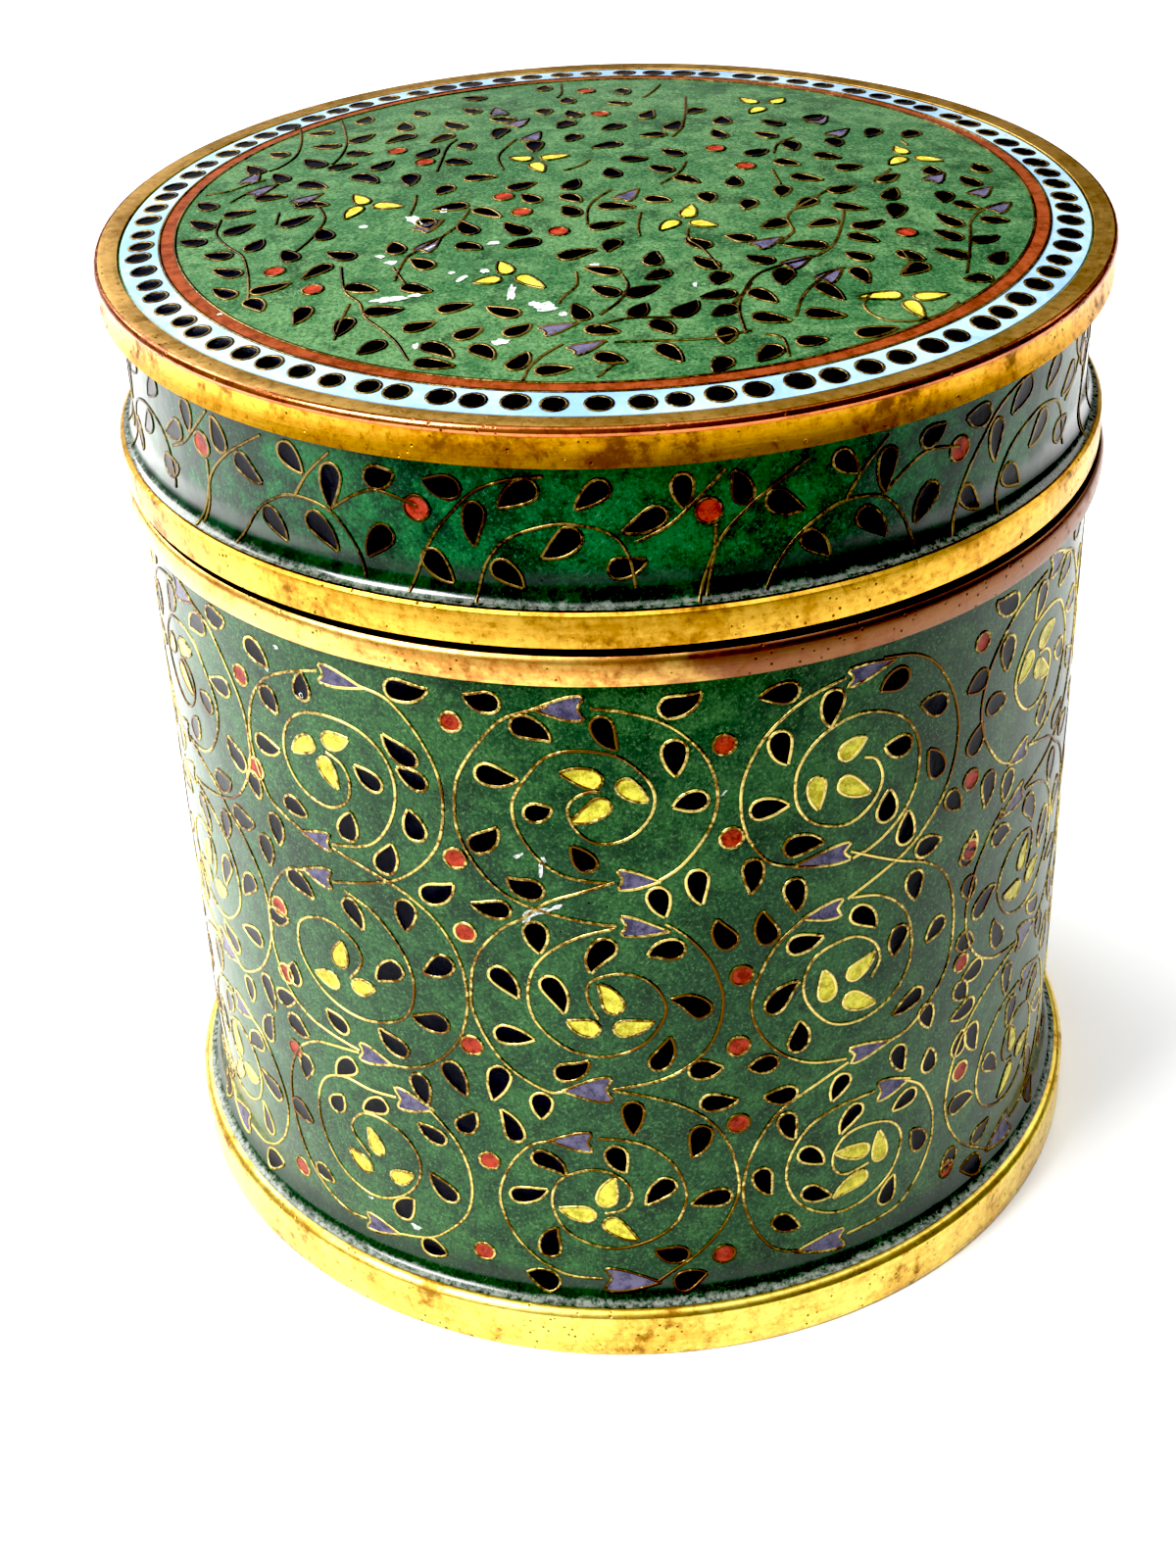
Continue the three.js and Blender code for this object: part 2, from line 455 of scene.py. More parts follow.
def laid(name, drawing, group, finish):
    """The piece that a Geometry Nodes tree makes of a flat drawing"""
    points, edges, faces = drawing
    mesh = bpy.data.meshes.new(name + "_flat")
    mesh.from_pydata(points, edges, faces)
    flat = bpy.data.objects.new(name + "_flat", mesh)
    scene.collection.objects.link(flat)
    modifier = flat.modifiers.new("laying", "NODES")
    modifier.node_group = group
    for socket in group.interface.items_tree:
        if socket.name == "Finish":
            modifier[socket.identifier] = finish
    shaped = flat.evaluated_get(bpy.context.evaluated_depsgraph_get())
    made = bpy.data.meshes.new_from_object(shaped)
    made.name = name
    bpy.data.objects.remove(flat)
    return bpy.data.objects.new(name, made)


WIRE = {"Width": 0.27, "Proud": 0.07, "Step": 0.45}


def layings(surface, sizes, bend):
    """Two trees for one surface, to which bend takes them: one lays wires on it, one cells"""
    wire = Laying("Wire on " + surface, {**WIRE, **sizes})
    bend(wire, wire.wire(wire.given("Geometry")))
    cells = Laying("Cells on " + surface, sizes)
    bend(cells, cells.given("Geometry"))
    return wire.group, cells.group


WALL = {"Radius": WALL_RADIUS, "Foot": WALL_FOOT, "Flare": FLARE, "Flare height": FLARE_HEIGHT, "Aside": 0.0}
wall_wire, wall_cell = layings("the wall", WALL, Laying.on_wall)


class Drawing:
    """A flat drawing of wires, as lines, and of enamel cells, by colour"""

    def __init__(self):
        self.lines = []
        self.cells = {}

    def line(self, points, closed=False):
        self.lines.append((list(points), closed))

    def leaf(self, colour, blob, tip, curl, swell):
        """A comma leaf: round at its blob, and pointed at its tip, which bends left for curl > 0"""
        blob, tip = Vector(blob), Vector(tip)
        along = (tip - blob).normalized()
        side = Vector((-along.y, along.x))
        bend = (blob + tip) / 2 - side * curl * 0.28 * (tip - blob).length
        left, rightward = [], []
        steps = 5
        for i in range(steps):
            t = i / steps
            spine = blob * (1 - t) ** 2 + bend * 2 * t * (1 - t) + tip * t * t
            heading = ((bend - blob) * (1 - t) + (tip - bend) * t).normalized()
            half = swell * (1 - t) ** 0.9 * (1 + 0.9 * t)
            across = Vector((-heading.y, heading.x)) * half
            left.append(spine + across)
            rightward.append(spine - across)
        heading = (bend - blob).normalized()
        across = Vector((-heading.y, heading.x))
        cap = [blob + swell * (across * math.cos(a) - heading * math.sin(a))
               for a in (math.radians(d) for d in (30, 60, 90, 120, 150))]
        gap = Vector((-along.y, along.x)) * 0.07
        ring = [tip + gap] + left[::-1] + cap + rightward + [tip - gap]
        self.lines.append((ring, False))
        self.cells.setdefault(colour, []).append(ring)

    def dot(self, colour, centre, radius):
        ring = [Vector(centre) + Vector((math.cos(a), math.sin(a))) * radius
                for a in (2 * math.pi * i / 12 for i in range(12))]
        self.lines.append((ring, True))
        self.cells.setdefault(colour, []).append(ring)

    def bud(self, colour, one, other, tip):
        """A bud: two lobes with a notch between them, narrowing to its tip"""
        one, other, tip = Vector(one), Vector(other), Vector(tip)
        middle = (one + other) / 2
        tip = middle + (tip - middle) * 1.08
        notch = middle + (tip - middle) * 0.12
        ring = [tip]
        for lobe in (one, other):
            shoulder = middle + (tip - middle) * 0.3 + (lobe - middle) * 1.02
            waist = middle + (tip - middle) * 0.62 + (lobe - middle) * 0.62
            ring += [waist, shoulder, lobe] if lobe is one else [lobe, shoulder, waist]
            if lobe is one:
                ring.append(notch)
        self.lines.append((ring + [tip], False))
        self.cells.setdefault(colour, []).append(ring)

    def chip(self, colour, centre, length, width, degrees):
        """A ragged patch with no wire round it, where the glass has broken away"""
        a = math.radians(degrees)
        along, side = Vector((math.cos(a), math.sin(a))), Vector((-math.sin(a), math.cos(a)))
        ring = []
        for i in range(14):
            turn = 2 * math.pi * i / 14
            reach = chance.uniform(0.55, 1.15) / 2
            edge = along * length * math.cos(turn) + side * width * math.sin(turn)
            ring.append(Vector(centre) + reach * edge)
        self.cells.setdefault(colour, []).append(ring)

    def wires(self):
        points, edges = [], []
        for line, closed in self.lines:
            first = len(points)
            points += [(p[0], p[1], 0.0) for p in line]
            edges += [(i, i + 1) for i in range(first, len(points) - 1)]
            if closed:
                edges.append((len(points) - 1, first))
        return points, edges, []

    def enamel(self, colour):
        """Dished cells, each of three rings round a middle point, one inside the other"""
        rim, slope, bed, deepest = (0.97, 0.052), (0.8, 0.03), (0.4, 0.016), 0.014
        points, faces = [], []
        for ring in self.cells.get(colour, []):
            middle = sum((Vector(p) for p in ring), Vector((0, 0))) / len(ring)
            first, n = len(points), len(ring)
            area = sum(a[0] * b[1] - b[0] * a[1] for a, b in zip(ring, ring[1:] + ring[:1]))
            ring = [Vector(p) for p in (ring if area > 0 else ring[::-1])]
            for share, height in (rim, slope, bed):
                points += [(*(middle + (p - middle) * share), height) for p in ring]
            points.append((*middle, deepest))
            for i in range(n):
                k = (i + 1) % n
                for step in (0, n):
                    a = first + step
                    faces.append((a + i, a + k, a + n + k, a + n + i))
                faces.append((first + 2 * n + i, first + 2 * n + k, first + 3 * n))
        return points, [], faces


# One column of three scrolls each: stems, leaves (round end, tip, which way the tip bends),
# buds (two lobes, tip) and petals (round end, tip). Across is measured from the column's middle.
FRONT = {
    "stems": [
        [(-3, 71.6), (-6.7, 70.2), (-9.1, 67.4), (-10.9, 64.3), (-11.5, 61.2), (-11.3, 58.1), (-10, 55.2),
         (-8.2, 53), (-6, 51.6), (-2.7, 50.5), (0.4, 49.8), (2.1, 49.6)],
        [(0.5, 71.5), (3.3, 71.1), (6.4, 69.9), (8.8, 67.8), (10.3, 65.3), (10.9, 61.9), (10, 58.7),
         (7.8, 55.6), (5.7, 54.1)],
        [(1.4, 54.1), (-1.7, 54.6), (-4.1, 56.1), (-5.9, 58.9), (-6.4, 61.1), (-6, 63), (-4, 66.1),
         (-2.2, 67.2), (0, 67.4), (2.7, 66.8), (4.8, 64.8), (5.6, 62.9), (5.3, 61), (3.9, 59.1), (2, 58.2),
         (0.2, 58.4), (-1.2, 59.8), (-1.7, 61.4), (-1.3, 62.5), (-0.1, 63.3), (1.1, 63.4)],
        [(0.2, 39.4), (-0.7, 41.7), (-0.3, 43.6), (2.5, 44.4), (5, 43.2), (6.2, 40.3), (5, 37.4), (3.1, 35.8),
         (0.3, 35.1), (-2.8, 36), (-5.3, 38.6), (-6, 41.4), (-5.5, 44.3), (-3.9, 46.6), (-1.1, 48.4),
         (1.9, 49.3)],
        [(6.3, 49.6), (8.1, 48.1), (10, 45.4), (11, 42.5), (11.3, 40.5), (11, 38), (9.9, 35.4), (8, 33.5),
         (5.5, 32.2), (1.2, 31.3)],
        [(-3, 31), (-4.4, 30.7), (-6.9, 32.1), (-8.8, 33.9), (-10.3, 36.5), (-11.2, 39.1), (-11.3, 40.7),
         (-10.9, 44), (-9.8, 46.5), (-7.9, 48.8), (-6.1, 50), (-3.9, 51.9), (-1.2, 53), (2, 54.2)],
        [(1.3, 31.1), (4.3, 30.4), (7.4, 29), (9.9, 26.9), (11.8, 23.6), (12.7, 19.3), (12.4, 16.3),
         (10.8, 13), (8.6, 10.4), (4.8, 7.4)],
        [(-4.4, 24.9), (-6.7, 24), (-8.6, 21.4), (-9.8, 18.1), (-9.7, 15.4), (-8.6, 12.4), (-6.6, 9.9),
         (-4.7, 8.6), (-3.1, 8), (-0.3, 7.9)],
        [(-0.3, 25.4), (1.7, 25.3), (4.2, 24.5), (6.4, 22.3), (7.5, 19.7), (7.7, 17.4), (6.7, 14.7),
         (4.5, 12.8), (1.6, 11.8), (-0.9, 12.1), (-3.4, 13.6), (-4.6, 15.8), (-4.8, 18.1), (-4, 20.1),
         (-2.4, 21.2), (-0.5, 21.6), (1.4, 20.9), (2.5, 19.4), (2.6, 17.8), (1.7, 16.6), (0.1, 16.2)],
    ],
    "leaves": [
        (-7.9, 71.6, -10, 72.1, -6), (-5.1, 69.6, -2.8, 68.3, -6), (1.4, 69.8, 2.6, 67.5, 5),
        (7.1, 71.3, 9.6, 72.5, 8), (7.3, 67.1, 7.4, 64.6, 0), (9.1, 62, 7.1, 61.6, 3),
        (-8.4, 64.6, -5.7, 64.4, 4), (-4.5, 61.1, -3, 61.7, 3), (-9.5, 57.4, -7.8, 59.3, 6),
        (-0.3, 56.2, -1.5, 57.9, 0), (-5.1, 53.1, -7.2, 54.2, -7), (9.1, 54, 9.5, 51.3, 4),
        (5.7, 52.5, 6.3, 50.3, 1), (-5, 48.7, -4.7, 46.4, 0), (1, 47.2, -0.3, 44.5, 7),
        (6.9, 46.8, 4.7, 46.3, 6), (-3.9, 43, -2.8, 39.9, -5), (-8.5, 43.5, -6.9, 41.2, -4),
        (-8.3, 36.9, -5.6, 36.7, 0), (-3, 33.1, -0.8, 34.6, 8), (5.5, 34.3, 6.5, 37.1, 5),
        (9.3, 39.9, 6.7, 41.3, 8), (-8, 50.7, -10.6, 51, -5), (11.7, 47.1, 10.8, 49.5, -6),
        (9.2, 33, 11.3, 33, 4), (-9.1, 32, -9.9, 28.9, 0), (-5.3, 29.5, -5.4, 27.4, 0),
        (3, 28.8, 3, 25.9, 0), (10.1, 29, 12.7, 28.8, 3), (-8, 25.2, -9.2, 28, 5),
        (-5.6, 22.6, -3.4, 20.8, -7), (1.3, 23.5, 2.2, 21.3, 4), (9.2, 25.3, 8.3, 22.6, -4),
        (-7.9, 17.7, -5.2, 18.8, 4), (5.8, 19.4, 4, 17.2, 3), (11, 17.3, 8.2, 16.8, 4),
        (-5.3, 11.3, -4.5, 14.1, -6), (6.9, 10.6, 4.7, 11.4, -5), (-5.5, 7.3, -7.7, 7.9, 3),
        (7.4, 7.3, 9.6, 7.9, -3),
    ],
    "buds": [
        (0, 72.6, 0, 70.4, -3.9, 71.3), (2.3, 55.4, 2.3, 53.5, 5.7, 54.1), (2.4, 50.6, 2.4, 48.7, 6.4, 48.8),
        (1.2, 32.6, 1.2, 30, -3, 31), (-0.8, 26, -0.8, 23.9, -4.5, 24.9), (-0.1, 9.1, -0.2, 6.8, 4.8, 7.4),
    ],
    "petals": [
        (0.4, 64.6, -2.2, 65.2, 3), (3.3, 63.8, 5.1, 62.3, 3), (1.1, 61.9, -1.5, 60.3, -3),
        (1.6, 40.9, 0.3, 43.3, 5), (-0.6, 38.3, -2.6, 39.1, -4), (2.4, 38.3, 5.1, 39, 4),
        (0.3, 18, 1.1, 20.7, -3), (-1.7, 16, -4.2, 16.6, -3), (0.8, 14.8, 3.1, 12.8, 3),
    ],
}
RIGHT = {
    "stems": [
        [(-2.6, 71.3), (-6.4, 70.1), (-9.7, 67.4), (-11.5, 64), (-11.9, 60.7), (-11.2, 57.4), (-9.3, 54.6),
         (-6.8, 53.6)],
        [(1.1, 72.1), (4.5, 71.3), (7, 69.4), (9, 66.1), (10, 62.8), (9.9, 59.4), (8.8, 56.1), (7, 53.6),
         (4.5, 51.5), (2, 50.3), (-1.8, 48.6)],
        [(-1.4, 52.8), (1.1, 53.6), (3.6, 55.5), (5.1, 58.2), (5.4, 61.5), (4.5, 64.2), (2.4, 66.3),
         (-1, 67.4), (-4.3, 66.5), (-6.5, 64.2), (-7.1, 61.7), (-6.6, 59.2), (-4.9, 57.4), (-2, 56.6),
         (0.3, 57.8), (1.4, 60.1), (0.7, 62.3), (-0.5, 62.9)],
        [(-6, 47.8), (-8.5, 45.7), (-10.1, 42.8), (-10.9, 39.4), (-10.1, 36.1), (-8, 33.2), (-5.1, 31.3),
         (-1.4, 30.4)],
        [(-1.6, 53.6), (1.4, 51.9), (4, 50.5), (7, 49), (9.5, 46.5), (10.7, 42.8), (10.9, 39), (10.3, 35.7),
         (8.6, 33.2), (5.7, 30.9), (3, 30.4)],
        [(-1.4, 48.6), (1.5, 47.8), (4, 45.7), (5.3, 42.8), (5.5, 39.4), (4.5, 36.9), (2.8, 35.3),
         (-0.1, 34.4), (-3, 35.1), (-5.1, 37.4), (-6, 39.9), (-5.5, 42.4), (-3.9, 43.8), (-1, 44.2),
         (1.1, 42.8), (1.9, 40.7), (1, 38.9)],
        [(-1.2, 29.9), (-4.7, 28.4), (-8, 26.5), (-10.1, 23.6), (-11.4, 19.9), (-11.6, 16.5), (-10.8, 13.2),
         (-9.3, 10.3), (-7.6, 8.8), (-5.5, 8.2)],
        [(2, 25.1), (-2.2, 24.9), (-5.1, 23.6), (-6.8, 21.1), (-7.4, 18.2), (-6.6, 15.3), (-4.9, 13.2),
         (-2.2, 11.7), (0.7, 11.7), (3.6, 13.2), (5.1, 15.7), (5.3, 18.2), (4, 20.3), (1.5, 21.3), (-1, 21.1),
         (-2.4, 19.4), (-2.4, 17.3), (-1, 16.1), (1.5, 16.4)],
        [(5.5, 24.7), (7.4, 23.2), (8.6, 21.1), (9.5, 18.4), (9.5, 15.3), (8.6, 12.8), (7, 10.3), (4.9, 8.8),
         (-0.8, 8.3)],
    ],
    "leaves": [
        (-7.8, 71.2, -10.3, 71.2, 2), (-3.7, 69.4, -3.9, 66.9, 4), (2.8, 69.6, 0.9, 69, 4),
        (-8.5, 66.6, -7.8, 64.2, 4), (7.4, 65.3, 5.3, 66.1, 2), (3.4, 62.7, 1.5, 63.3, -2),
        (-10.1, 60.2, -7.6, 60.1, -2), (7.6, 58.8, 6.5, 61.1, 3), (-10.8, 54.3, -11, 51.6, -3),
        (-7, 55.7, -4.3, 55.4, -4), (2, 56.5, 2.2, 58.7, 0), (4.2, 53.2, 4.4, 55.7, 0),
        (-7, 51.3, -6.8, 48.7, -3), (6.5, 50.9, 8.6, 50.9, 0), (12.4, 59, 13.4, 60.9, 2),
        (9.7, 54.6, 10.9, 53.1, 0), (12.8, 65.5, 11, 64.9, 0), (-9.4, 46.9, -9.9, 49.6, -5),
        (-6.6, 45.1, -4.1, 45.3, 3), (-0.5, 46.5, 1.3, 44.4, -5), (5.5, 47.8, 5.7, 45.5, 0),
        (4, 42.4, 3.4, 40.2, 2), (-8.7, 39, -6.4, 41, -6), (-6.4, 34, -6.3, 36.5, 4),
        (6.3, 34.4, 3.6, 33.4, -2), (8.8, 41.3, 7.3, 40, 0), (-9.3, 32.4, -11.2, 32.4, 0),
        (12.9, 43.6, 13.2, 41.9, 0), (7.8, 31.7, 8.4, 29.5, 0), (12.6, 37.4, 14.2, 36.5, 3),
        (12.5, 31.7, 13.5, 30.3, 0), (4.5, 28.5, 5.3, 26, 4), (-7.4, 28.2, -9.7, 28.6, -2),
        (-1.8, 27.8, -2.8, 25.8, 2), (-7.4, 25.1, -6.6, 22.6, 3), (-0.3, 23.6, -1.8, 21.4, 5),
        (6.1, 22.4, 4.1, 21.6, 2), (-5.3, 20.3, -3.5, 18.5, -2), (-9.8, 19, -8.9, 16.4, 4),
        (-4.9, 15.3, -2.6, 14, 3), (-7.8, 12.6, -5.9, 11.3, 3), (3.8, 10.9, 4.7, 13.3, -3),
        (7.8, 15.7, 6.7, 17.8, 4), (12.6, 10.9, 11.4, 9.6, 0), (8.6, 25, 8.6, 27, 0),
        (12.8, 24.7, 13.3, 26.5, 0),
    ],
    "buds": [
        (-2.4, 71.9, -2.4, 70.3, 2, 71.6), (-1.6, 54.6, -1.6, 52.8, -6.8, 53.6),
        (-2.2, 48.8, -2.4, 47, -6, 47.8), (-1.2, 31.4, -0.9, 29.6, 3.2, 30.5),
        (2.2, 25.9, 2.2, 23.7, 5.9, 24.6), (-1, 9.2, -1, 7.2, -6, 8.2),
    ],
    "petals": [
        (-5.1, 61.4, -4.9, 58.9, 2), (-2.2, 64, -0.4, 64.9, -2), (-2.2, 60.7, 0.2, 59.1, 3),
        (-3.6, 38.8, -4, 41.5, 2), (-0.8, 40.1, 1.3, 41.7, 4), (-1, 37.1, 1.6, 35.8, 4),
        (0.6, 18.3, -2.3, 19.2, 0), (2.8, 16.9, 2.6, 19.9, 0), (0.5, 14.9, -2.4, 13.6, 4),
    ],
}
LEFT = {
    "stems": [
        [(-0.7, 71.3), (-3.6, 70.3), (-6.9, 68.6), (-9.2, 66.1), (-10.3, 63.2), (-10.5, 60.3), (-9.6, 56.9),
         (-8.2, 54.9), (-4.6, 53.4)],
        [(3.7, 71), (6.4, 70.3), (8.9, 67.4), (10.4, 64), (10.7, 60.7), (10.2, 57.4), (8.9, 54.9),
         (6.4, 52.4), (3.5, 50.9), (-1.6, 49.2)],
        [(-1.2, 53.4), (2.7, 54.6), (4.7, 56.5), (6, 59.4), (6.2, 62.4), (5.2, 64.9), (3.1, 66.5), (0.2, 67),
         (-2.8, 66.5), (-4.8, 64.9), (-5.8, 62.4), (-5.3, 59.9), (-3.6, 58), (-1.1, 57.4), (1, 58.6),
         (1.6, 60.7), (1, 62.4), (-0.7, 63.2)],
        [(-4.8, 49.2), (-7.3, 48.2), (-9, 46.5), (-10.7, 43.6), (-11.3, 40), (-10.9, 36.5), (-9.4, 33.5),
         (-6.5, 31.3), (-0.6, 30.3)],
        [(-0.3, 48.7), (2.7, 47.4), (4.9, 44.9), (6.2, 41.9), (6.2, 39), (5.2, 36.5), (3.1, 35.1),
         (0.2, 34.4), (-2.8, 34.9), (-5.3, 36.6), (-7, 39.4), (-6.7, 42.4), (-4.8, 44), (-2.3, 44.4),
         (0.2, 43.2), (0.8, 41.1), (-0.8, 38.7)],
        [(-1.2, 53), (2.2, 52.1), (4.7, 51.3), (6.8, 50.3), (9.3, 48.2), (11, 44.9), (11.6, 41.1),
         (11.2, 37.4), (9.9, 34.4), (7.7, 31.9), (5.2, 30.5), (2.7, 30)],
        [(-0.7, 30), (-4, 29.4), (-6.5, 28.6), (-9, 26.5), (-10.8, 23), (-11.4, 19), (-10.9, 15),
         (-9.4, 11.5), (-7, 9.2), (-4.5, 8.2), (-2, 8.4)],
        [(6.8, 26), (8.9, 23.6), (10.2, 20.7), (10.6, 17.3), (9.9, 14), (8.1, 11.5), (5.6, 9.4), (1.8, 8.3)],
        [(3.2, 26.2), (0.2, 25.9), (-2.8, 26.1), (-5.3, 24.9), (-6.7, 22.4), (-7.1, 19), (-6.1, 15.7),
         (-4, 13.2), (-0.7, 12.1), (2.7, 13.6), (4.7, 16.1), (5.2, 19), (3.9, 21.5), (1.8, 22.6),
         (-0.7, 22.6), (-2.3, 21.1), (-2.6, 19.5), (-0.6, 17.2)],
    ],
    "leaves": [
        (-8.6, 70.8, -6.7, 69.6, -2), (-2.8, 68.6, -2.6, 70.6, 0), (7.2, 71.5, 10.2, 72.1, 6),
        (7.7, 64.9, 5.5, 66.8, -5), (-7.3, 66.5, -6.2, 65.1, 0), (8.5, 62.7, 6.6, 63.7, 0),
        (4.1, 61.5, 2.3, 62.8, -2), (-8.8, 61.1, -6.4, 61.3, 4), (7.9, 57.6, 7.4, 59.7, 0),
        (-5.7, 55.9, -3.8, 55.4, -2), (0.8, 55.5, 1.4, 57.7, 0), (4.5, 53.2, 5.4, 55.6, 4),
        (8.9, 51.1, 11.1, 52.7, 6), (-10.9, 56.2, -10.3, 54.4, 0), (-8.4, 52.8, -8.2, 50.4, -3),
        (-10.3, 49.6, -10, 47.3, 0), (-6.5, 47.6, -4.2, 46.2, -4), (0.2, 47.1, 1.4, 45, -3),
        (6.2, 48.8, 6, 46.4, 0), (9.5, 43.6, 7.4, 42.2, -4), (4.3, 41.5, 2.4, 39.7, 4),
        (-10.3, 41.5, -8.2, 42, 0), (8.5, 36.7, 5.9, 36.8, -4), (-8.4, 35.3, -8.2, 37.2, 0),
        (-2.6, 32.4, -4.3, 33.6, -3), (4.1, 32.4, 2.1, 34.1, -6), (9.5, 31.5, 10.8, 28.8, 0),
        (-10.7, 31.7, -8.6, 32.5, -2), (-9.2, 29.4, -7.3, 28.7, 3), (6, 29, 6.6, 26.5, 0),
        (-2.1, 27.8, -3.9, 25.8, 4), (10.4, 25.1, 11.5, 27.1, 2), (1.2, 24.4, -0.9, 22.9, 3),
        (7.4, 22.8, 5.4, 23.9, -3), (-4.4, 21.9, -3.4, 23.5, 0), (8.1, 15.9, 6.3, 18, -4),
        (2.7, 11.7, 4.1, 13.8, -3), (-8.2, 25.1, -8.6, 22.9, 0), (-7.8, 11.5, -6.1, 11, -2),
        (-10.3, 18.2, -8.4, 17.4, 0), (5.6, 8.3, 7.4, 7.9, 0),
    ],
    "buds": [
        (-0.5, 72.1, -0.7, 70.3, 3.7, 70.9), (-1.3, 54.3, -1.3, 52.6, -4.6, 53.4),
        (-1.6, 50.3, -1.8, 48.3, -5, 49.2), (-0.5, 31.3, -0.7, 29.3, 2.9, 30.1),
        (3.1, 27.4, 3.3, 25.1, 7, 26.1), (-2, 9.3, -2, 7.5, 1.8, 8.3),
    ],
    "petals": [
        (-0.1, 64.5, 1.9, 65.3, 2), (-2.8, 63.4, -4.7, 61.9, 2), (-0.9, 61.7, 0.3, 59.7, 3),
        (-1.8, 40.5, -1.3, 42.7, 0), (-3.1, 37.5, -5.2, 37.6, 0), (0.3, 38.1, 2.1, 38.6, -2),
        (0.3, 18.7, -0.5, 21, 3), (-1.5, 15.8, -3.3, 17, -3), (2.5, 15.9, 4.3, 17.1, 3),
    ],
}
# Red berries, which stand in every second column
DOTS = [
    (-11.3, 69.3), (-11.8, 55.5), (11.5, 67.2), (12.1, 57.8), (-11.4, 47.7), (-11.6, 35), (13, 43),
    (12.7, 35.1), (-10.7, 21.4), (-11.9, 9.6), (12.7, 26), (11.3, 10),
]
# Degrees round the wall, the column's drawing, and -1 where it is turned over
COLUMNS = (
    (-62.35, FRONT, -1), (-33.69, LEFT, 1), (-3.93, FRONT, 1), (27.76, RIGHT, 1), (58.49, FRONT, -1),
    (88.4, LEFT, -1), (118.3, FRONT, 1), (148.2, RIGHT, -1), (178.1, LEFT, 1), (208.0, RIGHT, 1),
    (237.9, FRONT, -1), (267.8, RIGHT, -1),
)
DEGREE = math.radians(WALL_RADIUS)

HAND_SEED = 5
chance = random.Random(HAND_SEED)
vine = Drawing()
for number, (degrees, column, flip) in enumerate(COLUMNS):
    across = degrees * DEGREE

    def at(x, y):
        return Vector((flip * x + across, y))

    for stem in column["stems"]:
        vine.line([at(*p) for p in stem])
    for bx, by, tx, ty, curl in column["leaves"]:
        vine.leaf("black", at(bx, by), at(tx, ty), curl=flip * curl / 10, swell=chance.uniform(0.94, 1.1))
    for ax, ay, bx, by, tx, ty in column["buds"]:
        vine.bud("lavender", at(ax, ay), at(bx, by), at(tx, ty))
    for bx, by, tx, ty, curl in column["petals"]:
        vine.leaf("yellow", at(bx, by), at(tx, ty), curl=flip * curl / 10, swell=chance.uniform(0.86, 0.98))
    if number % 2 == 0:
        for x, y in DOTS:
            vine.dot("red", (x + across, y), chance.uniform(0.95, 1.1))


def wire_brass(name, rub, brown):
    """Thin wire: pale gold where it is rubbed, brown where it has tarnished"""
    finish = Finish(name)
    tarnish = finish.cloud(0.07, 4, 0.7)
    rubbed = finish.cloud(2.2, 4, 0.7, shift=5)
    colour = finish.mix((tarnish * 0.6 + rubbed * 0.4).between(0.44, 0.54), rub, brown)
    relief = rubbed * 0.03
    return finish.end(
        Base_Color=colour, Metallic=1.0, Roughness=0.26 + rubbed * 0.25, Normal=finish.raised(relief, 0.8)
    )


gold_wire = wire_brass("brass_wire", tone(230, 206, 122), tone(100, 72, 40))
wires = laid("wall_wires", vine.wires(), wall_wire, gold_wire)
show(wires, "wire_brass")


# Cells on the wall: coloured glass paste, packed between the wires and fired. It has sunk a
# little below them: black leaves, yellow petals, red berries, lavender buds and white chips.
def cell_enamel(name, colour, deep):
    """Opaque glass in one small cell, a little uneven and pitted"""
    finish = Finish(name)
    uneven = finish.cloud(0.9, 4, 0.65)
    grains = finish.cloud(5.0, 3, 0.7, shift=13)
    shade = finish.mix((uneven * 0.65 + grains * 0.35).between(0.4, 0.62), colour, deep)
    relief = uneven * 0.06 + grains * 0.01
    return finish.end(
        Base_Color=shade, Roughness=0.14 + grains * 0.08, Normal=finish.raised(relief, 0.6),
        Specular_IOR_Level=0.14,
    )


def broken_enamel(name):
    """Where a chip has come off: chalky white glass, rough and pitted"""
    finish = Finish(name)
    uneven = finish.cloud(2.4, 5, 0.8)
    shade = finish.mix(uneven.between(0.44, 0.62), tone(232, 236, 230), tone(120, 140, 128))
    return finish.end(Base_Color=shade, Roughness=0.6 + uneven * 0.2, Normal=finish.raised(uneven * 0.2, 0.8))


CELL_FINISHES = {
    "black": cell_enamel("enamel_black", tone(8, 8, 18), tone(2, 2, 6)),
    "yellow": cell_enamel("enamel_yellow", tone(226, 218, 84), tone(160, 148, 44)),
    "red": cell_enamel("enamel_red", tone(170, 64, 46), tone(106, 34, 26)),
    "chip": broken_enamel("enamel_broken"),
    "lavender": cell_enamel("enamel_lavender", tone(102, 98, 122), tone(60, 58, 80)),
}
CELL_SLOTS = {colour: colour + "_enamel" for colour in ("black", "yellow", "red", "lavender")}
CELL_SLOTS["chip"] = "pale_enamel"


def show_cells(place, drawing, group):
    """Makes the cells of a drawing, each colour as one piece"""
    for colour, finish in CELL_FINISHES.items():
        if colour in drawing.cells:
            cells = laid(place + "_cells_" + colour, drawing.enamel(colour), group, finish)
            show(cells, CELL_SLOTS[colour])


